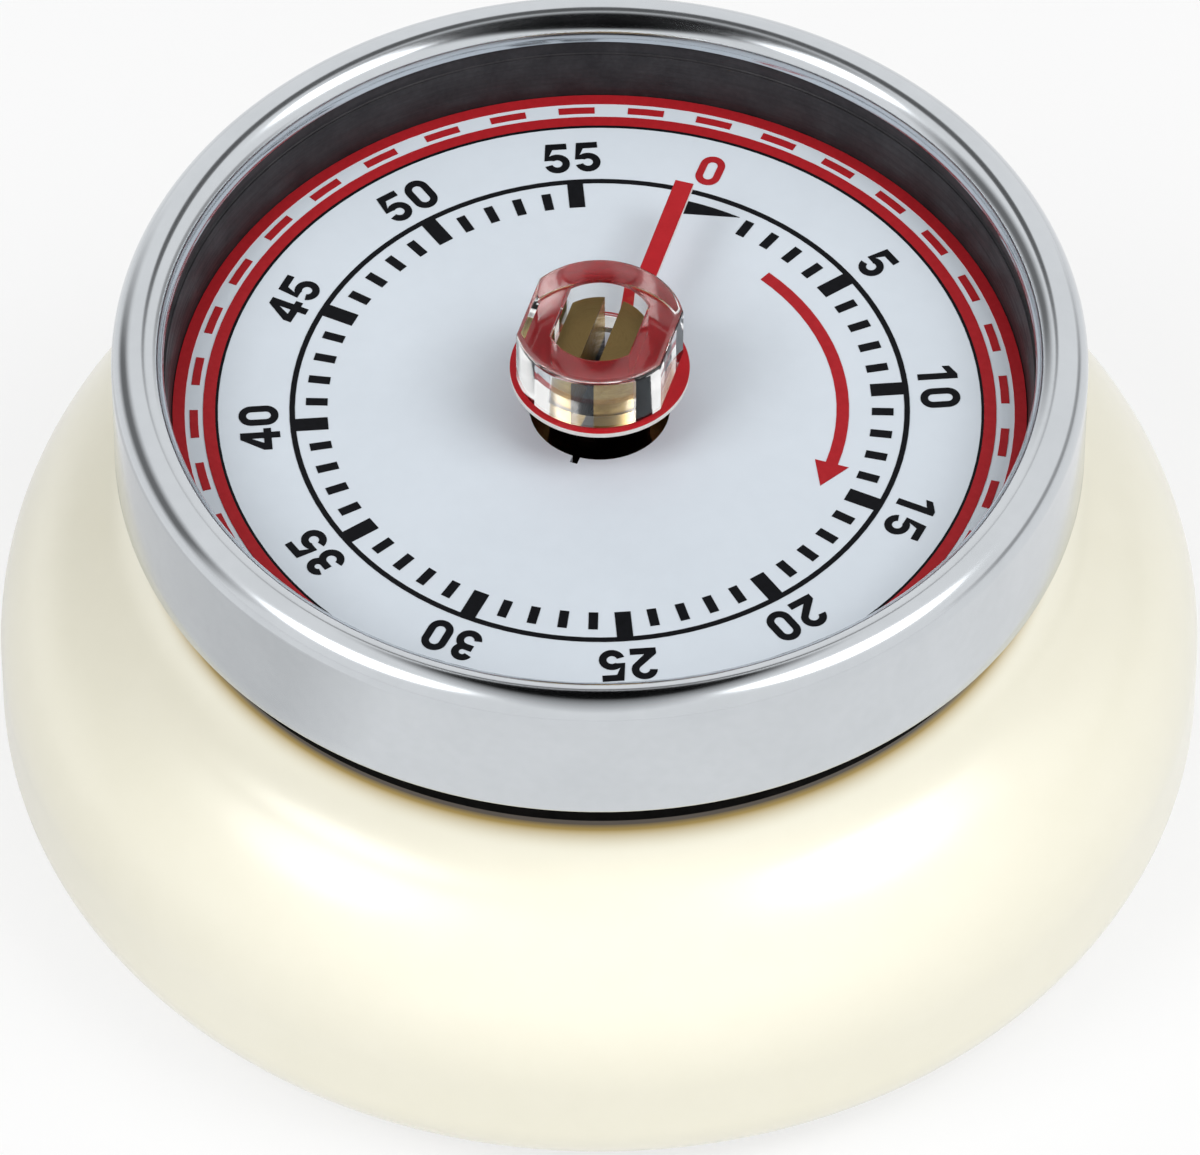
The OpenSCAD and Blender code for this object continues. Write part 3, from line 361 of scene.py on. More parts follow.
class Effects:
    """The shared effects as shader node groups, each built once.

    A pair of numbers is the stretch of a value over which a mask comes in.
    """

    FLOAT = "NodeSocketFloat"
    COLOUR = "NodeSocketColor"
    CLOUD_DETAIL = 3.0
    CLOUDS = (0.5, 1.0)
    GRAIN_RATIO = 7.0
    GRAIN_DETAIL = 2.0
    GRAIN_SHARE = 0.5
    LINE_DRIFT = 3.0
    LINE_RISE = 300.0
    LINE_DETAIL = 4.0
    LINES = (0.35, 0.7)
    SPECK_RIM = (0.08, 0.2)
    BEND_SAMPLES = 4
    BEND = (0.75, 0.98)
    WEAR_DETAIL = 3.0
    WEAR_GAPS = (0.4, 0.6)

    def __init__(self) -> None:
        """Builds every group."""
        makers = {
            Effect.MOTTLE: self._mottle,
            Effect.TURNED: self._turned,
            Effect.SPECKS: self._specks,
            Effect.EDGE: self._edge,
        }
        self._trees = {effect: make(effect.value) for effect, make in makers.items()}

    def place(self, net: Net, effect: Effect, **values: Value) -> bpy.types.Node:
        """Places an effect's group in a material, with the values of its inputs."""
        return net.add("ShaderNodeGroup", values, node_tree=self._trees[effect])

    def _start(self, name: str, takes: dict, gives: dict) -> tuple[Net, dict, bpy.types.Node]:
        """A new group tree.

        Args:
            name: Name of the group.
            takes: Socket types of its inputs.
            gives: Socket types of its outputs.

        Returns:
            The tree's net, its input sockets by name, and its output node.
        """
        tree = bpy.data.node_groups.new(name, "ShaderNodeTree")
        net = Net(tree)
        for title, kind in takes.items():
            tree.interface.new_socket(name=title, in_out="INPUT", socket_type=kind)
        for title, kind in gives.items():
            tree.interface.new_socket(name=title, in_out="OUTPUT", socket_type=kind)
        source = net.add("NodeGroupInput")
        return net, {title: source.outputs[title] for title in takes}, net.add("NodeGroupOutput")

    def _mottle(self, name: str) -> Tree:
        """Soft clouds with a finer grain on top, as a colour, a roughness and a height.

        Args:
            name: Name of the group.

        Returns:
            The group's tree.
        """
        takes = {"Scale": self.FLOAT, "Light": self.COLOUR, "Dark": self.COLOUR}
        takes |= {"Smooth": self.FLOAT, "Rough": self.FLOAT}
        gives = {"Color": self.COLOUR, "Roughness": self.FLOAT, "Height": self.FLOAT}
        net, given, out = self._start(name, takes, gives)
        point = net.point()
        clouds = net.noise(point, given["Scale"], self.CLOUD_DETAIL)
        fine_scale = net.math("MULTIPLY", given["Scale"], self.GRAIN_RATIO)
        grain = net.noise(point, fine_scale, self.GRAIN_DETAIL)
        both = net.math("ADD", clouds, net.math("MULTIPLY", grain, self.GRAIN_SHARE))
        share = net.spread(both, 0.0, 1.0, *self.CLOUDS)
        net.feed(out.inputs["Color"], net.blend(share, given["Light"], given["Dark"]))
        roughness = net.spread(both, given["Smooth"], given["Rough"], *self.CLOUDS)
        net.feed(out.inputs["Roughness"], roughness)
        net.feed(out.inputs["Height"], both)
        return net.tree

    def _turned(self, name: str) -> Tree:
        """Fine lines that run round the Z axis, as a tool or a brush leaves them.

        Args:
            name: Name of the group.

        Returns:
            The group's tree.
        """
        net, given, out = self._start(name, {"Scale": self.FLOAT}, {"Mask": self.FLOAT})
        x, y, z = net.add("ShaderNodeSeparateXYZ", {0: net.point()}).outputs
        radius = net.math("SQRT", net.math("ADD", net.math("MULTIPLY", x, x), net.math("MULTIPLY", y, y)))
        across = net.math("MULTIPLY", net.math("ADD", radius, z), given["Scale"])
        along = net.math("MULTIPLY", net.math("ARCTAN2", y, x), self.LINE_DRIFT)
        rise = net.math("MULTIPLY", z, self.LINE_RISE)
        where = net.add("ShaderNodeCombineXYZ", {0: across, 1: along, 2: rise})
        lines = net.noise(where.outputs[0], 1.0, self.LINE_DETAIL)
        net.feed(out.inputs["Mask"], net.spread(lines, 0.0, 1.0, *self.LINES))
        return net.tree

    def _specks(self, name: str) -> Tree:
        """Sparse tiny specks.

        Args:
            name: Name of the group.

        Returns:
            The group's tree.
        """
        takes = {"Scale": self.FLOAT, "Share": self.FLOAT}
        net, given, out = self._start(name, takes, {"Mask": self.FLOAT})
        cells = net.add("ShaderNodeTexVoronoi", {"Vector": net.point(), "Scale": given["Scale"]})
        lot = net.add("ShaderNodeSeparateColor", {0: cells.outputs["Color"]}).outputs[0]
        chosen = net.math("LESS_THAN", lot, given["Share"])
        dot = net.spread(cells.outputs["Distance"], 1.0, 0.0, *self.SPECK_RIM)
        net.feed(out.inputs["Mask"], net.math("MULTIPLY", dot, chosen))
        return net.tree

    def _edge(self, name: str) -> Tree:
        """Worn edges, where the surface bends within a radius, broken up by noise.

        Args:
            name: Name of the group.

        Returns:
            The group's tree.
        """
        takes = {"Radius": self.FLOAT, "Scale": self.FLOAT}
        net, given, out = self._start(name, takes, {"Mask": self.FLOAT})
        rounded = net.add("ShaderNodeBevel", {"Radius": given["Radius"]}, samples=self.BEND_SAMPLES)
        normals = {0: rounded.outputs[0], 1: net.add("ShaderNodeNewGeometry").outputs["Normal"]}
        dot = net.add("ShaderNodeVectorMath", normals, operation="DOT_PRODUCT").outputs["Value"]
        bend = net.spread(dot, 1.0, 0.0, *self.BEND)
        noise = net.noise(net.point(), given["Scale"], self.WEAR_DETAIL)
        gaps = net.spread(noise, 0.0, 1.0, *self.WEAR_GAPS)
        net.feed(out.inputs["Mask"], net.math("MULTIPLY", bend, gaps))
        return net.tree


# Finishes


@dataclass(frozen=True)
class PaintedShade:
    """Painted shade that comes in with height, from where it starts to where it is full, in millimetres."""

    colour: Colour
    start: float
    full: float


@dataclass(frozen=True)
class Finish:
    """One material: a colour that drifts a little, with its gloss, grain, specks, wear and painted shade.

    Colours are display colours of 0 to 255. Scales are cells in a metre. Heights are millimetres.
    """

    name: str
    slot: Slot
    light: Colour
    dark: Colour
    smooth: float
    rough: float
    scale: float
    bump: float = 0.0
    metallic: float = 0.0
    coat: float = 0.0
    coat_rough: float = 0.06
    turned: float = 0.0
    turned_scale: float = 6000.0
    specks: float = 0.0
    speck_scale: float = 500.0
    speck_colour: Colour = (120, 110, 95)
    wear: Optional[Colour] = None
    wear_radius: float = 0.2
    painted_shades: tuple[PaintedShade, ...] = ()
    transmission: float = 0.0
    ior: float = 1.5
    specular: float = 0.5

    LINE_ROUGHNESS = 0.5
    WEAR_NOISE = 3.0
    PAINTED_SHADE_POWER = 2.0

    def build(self, effects: Effects) -> bpy.types.Material:
        """Makes the material.

        Args:
            effects: The shared node groups.

        Returns:
            The new material.
        """
        material, net = new_material(self.name)
        plain = {"Metallic": self.metallic, "IOR": self.ior, "Transmission Weight": self.transmission}
        plain |= {"Coat Weight": self.coat, "Coat Roughness": self.coat_rough}
        plain |= {"Specular IOR Level": self.specular}
        shader = net.add("ShaderNodeBsdfPrincipled", plain)
        net.add("ShaderNodeOutputMaterial", {"Surface": shader.outputs[0]})
        mottle = effects.place(
            net, Effect.MOTTLE, Scale=self.scale, Light=linear(self.light), Dark=linear(self.dark),
            Smooth=self.smooth, Rough=self.rough)
        colour, roughness, height = (mottle.outputs[n] for n in ("Color", "Roughness", "Height"))
        if self.turned:
            lines = effects.place(net, Effect.TURNED, Scale=self.turned_scale).outputs["Mask"]
            share = net.math("MULTIPLY", lines, self.turned)
            colour = net.blend(share, colour, linear(self.dark))
            more = net.math("MULTIPLY", lines, self.LINE_ROUGHNESS * self.turned)
            roughness = net.math("ADD", roughness, more)
            height = lines
        if self.specks:
            specks = effects.place(net, Effect.SPECKS, Scale=self.speck_scale, Share=self.specks)
            colour = net.blend(specks.outputs["Mask"], colour, linear(self.speck_colour))
        if self.wear:
            radius, scale = self.wear_radius * MM, self.WEAR_NOISE * self.scale
            worn = effects.place(net, Effect.EDGE, Radius=radius, Scale=scale)
            colour = net.blend(worn.outputs["Mask"], colour, linear(self.wear))
        # Painted shade: a darker colour mixed in by height.
        for painted_shade in self.painted_shades:
            level = net.add("ShaderNodeSeparateXYZ", {0: net.point()}).outputs["Z"]
            depth = net.spread(level, 0.0, 1.0, painted_shade.start * MM, painted_shade.full * MM)
            share = net.math("POWER", depth, self.PAINTED_SHADE_POWER)
            colour = net.blend(share, colour, linear(painted_shade.colour))
        net.feed(shader.inputs["Base Color"], colour)
        net.feed(shader.inputs["Roughness"], roughness)
        if self.bump:
            relief = net.add("ShaderNodeBump", {"Height": height, "Distance": self.bump * MM})
            net.feed(shader.inputs["Normal"], relief.outputs[0])
        return material


# The enamel's bands by height are painted shade: yellow-brown, then near-black, in the cove just under the
# bezel.
CREAM_ENAMEL = Finish(
    "cream_enamel", Slot.ENAMEL, light=(246, 242, 223), dark=(243, 239, 219), smooth=0.29, rough=0.33,
    scale=60.0, coat=0.6, coat_rough=0.14,
    painted_shades=(PaintedShade((172, 142, 52), start=19.9, full=21.4), PaintedShade((50, 34, 6), start=21.1, full=21.8)))
COVER_PAINT = Finish(
    "cover_paint", Slot.COVER_PAINT, light=(58, 58, 61), dark=(44, 44, 47), smooth=0.42, rough=0.58,
    scale=900.0, bump=0.02, wear=(120, 120, 122), specks=0.03, speck_scale=900.0,
    speck_colour=(90, 90, 92))
BRIGHT_ZINC = Finish(
    "bright_zinc", Slot.STEEL, light=(205, 207, 210), dark=(176, 178, 182), smooth=0.28, rough=0.38,
    scale=700.0, bump=0.004, metallic=1.0, wear=(228, 229, 231))
FERRITE = Finish(
    "ferrite", Slot.FERRITE, light=(56, 56, 59), dark=(40, 40, 43), smooth=0.5, rough=0.72,
    scale=1500.0, bump=0.03, turned=0.3, specks=0.1, speck_scale=1500.0, speck_colour=(84, 84, 87))
POLISHED_CHROME = Finish(
    "polished_chrome", Slot.CHROME, light=(206, 210, 214), dark=(201, 205, 209), smooth=0.12, rough=0.15,
    scale=200.0, bump=0.0004, metallic=1.0)
CHARCOAL_SATIN = Finish(
    "charcoal_satin", Slot.CHARCOAL, light=(54, 52, 55), dark=(34, 33, 36), smooth=0.28, rough=0.36,
    scale=500.0, bump=0.006, specular=0.3, turned=0.45, turned_scale=5000.0)
# Painted shade: the surround's own dark colour taken to near-black, with almost no gloss, below the dial
# plate, where it shows as the gap under the bezel.
SEAT_PAINTED_SHADE = Finish(
    "seat_painted_shade", Slot.CHARCOAL, light=(9, 8, 8), dark=(5, 5, 5), smooth=0.6, rough=0.8,
    scale=900.0, bump=0.004, specular=0.03)
DIAL_LACQUER = Finish(
    "dial_lacquer", Slot.DIAL_LACQUER, light=(213, 221, 229), dark=(209, 217, 225), smooth=0.36,
    rough=0.44, scale=120.0, bump=0.003, specular=0.3, specks=0.006, speck_scale=700.0,
    speck_colour=(170, 176, 184))
BLACK_INK = Finish(
    "black_ink", Slot.INK_BLACK, light=(17, 18, 22), dark=(11, 12, 15), smooth=0.36, rough=0.48,
    scale=2500.0, bump=0.006, specular=0.07)
RED_INK = Finish(
    "red_ink", Slot.INK_RED, light=(171, 34, 41), dark=(159, 28, 35), smooth=0.34, rough=0.46,
    scale=2500.0, bump=0.006, specular=0.14)
CLEAR_ACRYLIC = Finish(
    "clear_acrylic", Slot.ACRYLIC, light=(252, 252, 251), dark=(248, 248, 246), smooth=0.0, rough=0.03,
    scale=400.0, bump=0.0005, transmission=1.0, ior=1.49)
POINTER_RED = Finish(
    "pointer_red", Slot.POINTER_RED, light=(176, 25, 34), dark=(166, 21, 30), smooth=0.28, rough=0.36,
    scale=900.0, bump=0.003, specular=0.2)
POINTER_EDGE = Finish(
    "pointer_edge", Slot.POINTER_RED, light=(238, 234, 230), dark=(226, 220, 216), smooth=0.3, rough=0.4,
    scale=1200.0, bump=0.003)
WHEEL_BRASS = Finish(
    "wheel_brass", Slot.BRASS, light=(196, 170, 108), dark=(170, 144, 86), smooth=0.28, rough=0.38,
    scale=800.0, bump=0.004, metallic=1.0, wear=(205, 184, 130))
# The arbor's bands by height are painted shade: darker brown on its top end, down in the knob's hole, and
# near-black where it stands under the pointer disc.
ARBOR_BRASS = Finish(
    "arbor_brass", Slot.BRASS, light=(206, 180, 116), dark=(178, 150, 90), smooth=0.28, rough=0.36,
    scale=900.0, bump=0.004, metallic=1.0, turned=0.5, turned_scale=9000.0,
    painted_shades=(PaintedShade((124, 104, 66), start=33.5, full=33.72), PaintedShade((24, 18, 15), start=31.0, full=30.4)))
PLATE_BRASS = Finish(
    "plate_brass", Slot.PLATE_BRASS, light=(190, 166, 104), dark=(164, 140, 84), smooth=0.34, rough=0.46,
    scale=500.0, bump=0.006, metallic=1.0, turned=0.3)
BLUED_STEEL = Finish(
    "blued_steel", Slot.SPRING_STEEL, light=(92, 101, 124), dark=(70, 78, 100), smooth=0.28, rough=0.36,
    scale=600.0, bump=0.003, metallic=1.0)
NICKEL = Finish(
    "nickel", Slot.BELL_STEEL, light=(212, 211, 207), dark=(192, 191, 187), smooth=0.14, rough=0.24,
    scale=400.0, bump=0.003, metallic=1.0, turned=0.2)


class PaintShop:
    """Builds each finish when it is first used, and puts finishes on pieces."""

    def __init__(self) -> None:
        """Builds the shared effects."""
        self._effects = Effects()
        self._made: dict[Finish, bpy.types.Material] = {}

    def material(self, finish: Finish) -> bpy.types.Material:
        """The finish's material, built once.

        Args:
            finish: The finish.

        Returns:
            Its material.
        """
        if finish not in self._made:
            self._made[finish] = finish.build(self._effects)
        return self._made[finish]

    def coat(self, piece: Piece, *finishes: Finish) -> None:
        """Gives a piece its finishes, in place of what it has.

        Args:
            piece: The piece.
            *finishes: Its finishes, the main one first.
        """
        piece.data.materials.clear()
        for finish in finishes:
            piece.data.materials.append(self.material(finish))


@dataclass
class Bench:
    """What every sub-assembly needs while it is built: the frame and the finishes."""

    nodes: dict[str, Piece]
    paint: PaintShop

    def fit(self, piece: Piece, node: str, body: Body, *finishes: Finish) -> Piece:
        """Puts a new piece in a CAD node's place.

        Args:
            piece: The new piece.
            node: The CAD node that it stands for.
            body: The body that it rides on.
            *finishes: Its finishes, the main one first.

        Returns:
            The piece.
        """
        self.paint.coat(piece, *finishes)
        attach(piece, body.value)
        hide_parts(node)
        return piece

    def dress(self, node: str, finish: Finish, edge: float = 0.0) -> Piece:
        """Gives a CAD node its finish, and breaks its edges if a width is given.

        Args:
            node: Name of the CAD node.
            finish: Its finish.
            edge: Greatest width of the broken edges, in millimetres.

        Returns:
            The node's object.
        """
        piece = self.nodes[node]
        self.paint.coat(piece, finish)
        if edge:
            soften(piece, edge)
        return piece


def second_finish(piece: Piece, chosen: Callable[[bpy.types.MeshPolygon], bool]) -> None:
    """Gives some of a piece's faces the second of its finishes.

    Args:
        piece: The piece.
        chosen: Tells whether a face gets it.
    """
    for face in piece.data.polygons:
        if chosen(face):
            face.material_index = 1


def box_mm(node: str) -> tuple[Vector, Vector]:
    """Lowest and highest corner of a CAD node, in millimetres."""
    low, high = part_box(node)
    return low / MM, high / MM


# Sub-assemblies, in millimetres: _r is a radius, _d a diameter, _t a thickness, _h a height, _w a width


@dataclass
class Case:
    """The enamelled shell, and the cover, screws and magnet in its foot."""

    shoulder_r: float = 10.8
    foot_r: float = 4.7
    neck_r: float = 26.3
    cove_r: float = 5.0
    shell_t: float = 0.9
    foot_land: float = 0.7
    hem_w: float = 2.8
    rebate_h: float = 1.6
    band_h: float = 3.6
    cover_edge: float = 0.05
    metal_edge: float = 0.1
    magnet_edge: float = 0.3

    COVE_STEPS = 32
    SHOULDER_STEPS = 48
    FOOT_STEPS = 32
    INNER_FOOT_STEPS = 12

    def profile(self) -> list[Point]:
        """Closed profile of the shell: neck, hollow, shoulder, foot and hem, then back up inside.

        Returns:
            Radius and height of each point, in millimetres.
        """
        radius = box_mm("base_shell")[1].x
        foot = (radius - self.foot_r, self.foot_r)
        shoulder = (radius - self.shoulder_r, self.foot_r + self.band_h)
        cove_x = self.neck_r + self.cove_r
        run = cove_x - shoulder[0]
        rise = math.sqrt((self.shoulder_r + self.cove_r) ** 2 - run ** 2)
        cove = (cove_x, shoulder[1] + rise)
        turn = math.degrees(math.atan2(rise, run))
        rebate = foot[0] - self.foot_land
        hem_top = self.rebate_h + self.shell_t
        inner_foot = self.foot_r - self.shell_t
        hem_turn = math.degrees(math.asin((self.foot_r - hem_top) / inner_foot))
        outside = arc(cove, self.cove_r, 180, 180 + turn, self.COVE_STEPS)
        outside += arc(shoulder, self.shoulder_r, turn, 0, self.SHOULDER_STEPS)[1:]
        outside += arc(foot, self.foot_r, 0, -90, self.FOOT_STEPS)
        hem = [(rebate, 0), (rebate, self.rebate_h), (rebate - self.hem_w, self.rebate_h),
               (rebate - self.hem_w, hem_top)]
        inside = arc(foot, inner_foot, -hem_turn, 0, self.INNER_FOOT_STEPS)
        inside += arc(shoulder, self.shoulder_r - self.shell_t, 0, turn, self.SHOULDER_STEPS // 2)
        inside += arc(cove, self.cove_r + self.shell_t, 180 + turn, 180, self.COVE_STEPS // 2)[1:]
        return outside + hem + inside

    def build(self, bench: Bench) -> list[Piece]:
        """Makes the shell and dresses the foot.

        Args:
            bench: The frame and the finishes.

        Returns:
            The pieces.
        """
        shell = lathe("case_shell", self.profile())
        bench.fit(shell, "base_shell", Body.CASE, CREAM_ENAMEL)
        cover = bench.dress("back_cover", COVER_PAINT, self.cover_edge)
        metal = [bench.dress(node, BRIGHT_ZINC, self.metal_edge)
                 for node in ("cover_screws", "cover_posts", "magnet_cup", "cup_rivets")]
        return [shell, cover, *metal, bench.dress("magnet", FERRITE, self.magnet_edge)]


@dataclass
class Bezel:
    """The chromed ring with its rolled bead and inner lip."""

    sheet_t: float = 0.6
    bead_r: float = 1.5
    lip_drop: float = 0.1
    hem_r: float = 0.2

    HEM_STEPS = 6
    WALL_STEPS = 6
    BEAD_STEPS = 64

    def profile(self) -> list[Point]:
        """Closed profile: up the wall, over the bead, down the lip, and back inside.

        Returns:
            Radius and height of each point, in millimetres.
        """
        low, high = box_mm("bezel")
        radius = high.x
        bead = (radius - self.bead_r, high.z - self.bead_r)
        lip_r = radius - 2 * self.bead_r
        lip_z = bead[1] - self.lip_drop
        hem = (radius - self.hem_r, low.z + self.hem_r)
        wall_h, steps = bead[1] - low.z, self.WALL_STEPS
        outside = arc(hem, self.hem_r, -90, 0, self.HEM_STEPS)
        outside += [(radius, bead[1] - wall_h * i / steps) for i in range(steps - 1, 0, -1)]
        outside += arc(bead, self.bead_r, 0, 180, self.BEAD_STEPS)
        inside = [(lip_r, lip_z), (lip_r + self.sheet_t, lip_z)]
        inside += arc(bead, self.bead_r - self.sheet_t, 180, 0, self.BEAD_STEPS // 2)
        return outside + inside + [(radius - self.sheet_t, low.z)]

    def build(self, bench: Bench) -> list[Piece]:
        """Makes the ring."""
        return [bench.fit(lathe("bezel_ring", self.profile()), "bezel", Body.CASE, POLISHED_CHROME)]


@dataclass
class Dial:
    """The dark well, the printed plate, and the two inks on it."""

    seat_r: float = 26.6
    skirt_r: float = 25.3
    wall_t: float = 1.0
    rib_h: float = 1.5
    rib_lift: float = 0.3
    ledge_r: float = 19.8
    ledge_t: float = 1.0
    well_r: float = 24.55
    lip_r: float = 24.9
    well_clear: float = 0.2
    well_draft: float = 0.1
    step_drop: float = 1.05
    step: float = 0.15
    step_edge: float = 0.06

    def profile(self) -> list[Point]:
        """Closed profile of the surround: skirt, seat, rib, wall, stepped well and ledge.

        The CAD node's four screw bosses under the ledge, inside the closed case, aren't part of it.

        Returns:
            Radius and height of each point, in millimetres.
        """
        low, high = box_mm("dial_surround")
        plate_low, plate_high = box_mm("dial_plate")
        neck_z = box_mm("base_shell")[1].z
        rib_z = box_mm("bezel")[0].z + self.rib_lift
        wall_r = high.x - self.wall_t
        top_r = self.lip_r + self.well_clear
        step_r = top_r - self.well_draft
        step_z = high.z - self.step_drop
        inner_step = step_r - self.step
        inner_skirt = self.skirt_r - self.wall_t
        ledge_z = plate_low.z - self.ledge_t
        return [
            (inner_skirt, low.z), (self.skirt_r, low.z), (self.skirt_r, neck_z), (self.seat_r, neck_z),
            (self.seat_r, rib_z), (high.x, rib_z), (high.x, rib_z + self.rib_h),
            (wall_r, rib_z + self.rib_h), (wall_r, high.z), (top_r, high.z),
            (step_r, step_z + self.step_edge), (step_r - self.step_edge, step_z),
            (inner_step, step_z), (inner_step - self.step_edge / 2, step_z - self.step_edge),
            (self.well_r, plate_high.z), (self.well_r, plate_low.z), (self.ledge_r, plate_low.z),
            (self.ledge_r, ledge_z), (inner_skirt, ledge_z)]

    def build(self, bench: Bench) -> list[Piece]:
        """Makes the surround, painted-shade black under the dial plate, and dresses the plate and the inks.

        Args:
            bench: The frame and the finishes.

        Returns:
            The pieces.
        """
        well = lathe("dial_well", self.profile())
        bench.fit(well, "dial_surround", Body.CASE, CHARCOAL_SATIN, SEAT_PAINTED_SHADE)
        plate_z = box_mm("dial_plate")[0].z * MM
        # Faces below the dial plate get the painted shade.
        second_finish(well, lambda face: face.center.z < plate_z)
        return [
            well,
            bench.dress("dial_plate", DIAL_LACQUER),
            bench.dress("dial_print_black", BLACK_INK),
            bench.dress("dial_print_red", RED_INK),
        ]


@dataclass
class Winder:
    """The clear knob, the red pointer and the brass arbor, which turn together."""

    knob_flats: float = 8.6
    knob_edge: float = 0.35
    knob_foot_edge: float = 0.12
    knob_float: float = 0.02
    hole_d: float = 6.0
    hole_flats: float = 4.6
    hole_edge: float = 0.12
    disc_d: float = 10.3
    reach: float = 15.2
    finger_w: float = 1.1
    finger_steps: int = 12
    pointer_edge: float = 0.04
    rest_turn: float = 2.5
    arbor_edge: float = 0.08
    cam_edge: float = 0.05

    ROUNDING_STEPS = 8
    DISC_STEPS = 160
    LEAST_COSINE = 1e-6
    UPRIGHT = 0.5

    def turned(self, rings: list[Ring]) -> list[Ring]:
        """Rings turned to where the pointer rests."""
        turn = Matrix.Rotation(math.radians(self.rest_turn), 3, "Z")
        return [[turn @ p for p in ring] for ring in rings]

    def knob_rings(self) -> list[Ring]:
        """Rings up the knob's outside, over its rounded edge, and down its flatted hole.

        Returns:
            The rings, in order along the skin, in metres.
        """
        low, high = box_mm("knob")
        diameter = high.y - low.y
        bottom = low.z + self.knob_float
        levels = [(self.knob_foot_edge, bottom), (0.0, bottom + self.knob_foot_edge)]
        shoulder = (self.knob_edge, high.z - self.knob_edge)
        levels += arc(shoulder, self.knob_edge, 180, 90, self.ROUNDING_STEPS)
        rings = [at_height(flatted(diameter - 2 * inset, self.knob_flats - 2 * inset), z)
                 for inset, z in levels]
        hole = [(self.hole_edge, high.z), (0.0, high.z - self.hole_edge), (0.0, bottom)]
        rings += [at_height(flatted(self.hole_d + 2 * more, self.hole_flats + 2 * more), z)
                  for more, z in hole]
        return self.turned(rings)

    def pointer_outline(self, inset: float) -> list[Point]:
        """Outline of the disc and its finger, drawn in by an inset.

        Args:
            inset: How far the outline lies inside the true edge.

        Returns:
            The closed outline, counter-clockwise from the finger's right side.
        """
        radius = self.disc_d / 2 - inset
        left, right = inset, self.finger_w - inset
        tip = self.reach - inset
        left_root, right_root = math.acos(left / radius), math.acos(right / radius)
        left_foot, right_foot = radius * math.sin(left_root), radius * math.sin(right_root)
        steps = self.finger_steps
        up = [(right, right_foot + (tip - right_foot) * i / steps) for i in range(1, steps + 1)]
        down = [(left, tip + (left_foot - tip) * i / steps) for i in range(steps)]
        start, end = math.degrees(left_root), 360 + math.degrees(right_root)
        return up + down + arc((0, 0), radius, start, end, self.DISC_STEPS)

    def pointer_hole(self) -> list[Point]:
        """Outline of the pointer's flatted hole.

        Returns:
            The closed outline, with a point for each point of the outer outline.
        """
        finger = 2 * self.finger_steps
        root = math.acos(2 * self.finger_w / self.disc_d)
        turns = [root + (math.pi / 2 - root) * (i + 1) / (finger + 1) for i in range(finger)]
        turns += [math.atan2(y, x) for x, y in self.pointer_outline(0.0)[finger:]]
        across = [self.hole_flats / max(abs(math.cos(a)), self.LEAST_COSINE) for a in turns]
        radii = [min(self.hole_d, width) / 2 for width in across]
        return [(r * math.cos(a), r * math.sin(a)) for r, a in zip(radii, turns)]

    def pointer_rings(self) -> list[Ring]:
        """Rings over the pointer: lower face, edge, upper face, and down the hole.

        Returns:
            The rings, in order along the skin, in metres.
        """
        low, high = box_mm("pointer")
        edge = self.pointer_edge
        levels = [(edge, low.z), (0.0, low.z + edge), (0.0, high.z - edge), (edge, high.z)]
        rings = [at_height(self.pointer_outline(inset), z) for inset, z in levels]
        rings += [at_height(self.pointer_hole(), z) for z in (high.z, low.z)]
        return self.turned(rings)

    def build(self, bench: Bench) -> list[Piece]:
        """Makes the knob and the pointer with its pale edge, and dresses the arbor and what is on it.

        Args:
            bench: The frame and the finishes.

        Returns:
            The pieces.
        """
        knob = bench.fit(ring_mesh("knob_grip", self.knob_rings()), "knob", Body.WINDER, CLEAR_ACRYLIC)
        pointer = ring_mesh("pointer_hand", self.pointer_rings())
        bench.fit(pointer, "pointer", Body.WINDER, POINTER_RED, POINTER_EDGE)
        second_finish(pointer, lambda face: abs(face.normal.z) < self.UPRIGHT)
        return [
            knob,
            pointer,
            bench.dress("winding_arbor", ARBOR_BRASS, self.arbor_edge),
            bench.dress("main_wheel", WHEEL_BRASS),
            bench.dress("strike_cam", WHEEL_BRASS, self.cam_edge),
            bench.dress("ratchet_wheel", BRIGHT_ZINC),
            bench.dress("ratchet_click", BRIGHT_ZINC),
        ]


@dataclass
class Movement:
    """The clockwork between its two plates, with the mainspring, the bell and the hammer."""

    plate_edge: float = 0.08
    pin_edge: float = 0.05

    def build(self, bench: Bench) -> list[Piece]:
        """Dresses the movement's nodes by what they are made of.

        Args:
            bench: The frame and the finishes.

        Returns:
            The pieces.
        """
        groups = (
            (PLATE_BRASS, self.plate_edge, ("front_plate", "rear_plate")),
            (WHEEL_BRASS, 0.0, ("second_wheel", "third_wheel", "escape_wheel", "balance_bar")),
            (BRIGHT_ZINC, 0.0, ("second_pinion", "third_pinion", "escape_pinion")),
            (BRIGHT_ZINC, self.pin_edge, (
                "pillars", "plate_screws", "movement_screws", "second_arbor", "third_arbor", "escape_arbor",
                "balance_staff", "pallet_fork", "spring_post", "bell_post", "bell_screw", "hammer_arbor",
                "hammer_arm", "hammer_tail")),
            (BLUED_STEEL, 0.0, ("mainspring", "hammer_spring")),
            (NICKEL, self.plate_edge, ("bell",)),
        )
        return [bench.dress(node, finish, edge) for finish, edge, nodes in groups for node in nodes]


# Studio


def direction(azimuth: float, elevation: float) -> Vector:
    """Unit vector towards a place round the object, where azimuth 0 lies towards -Y."""
    a, e = math.radians(azimuth), math.radians(elevation)
    return Vector((math.sin(a) * math.cos(e), -math.cos(a) * math.cos(e), math.sin(e)))


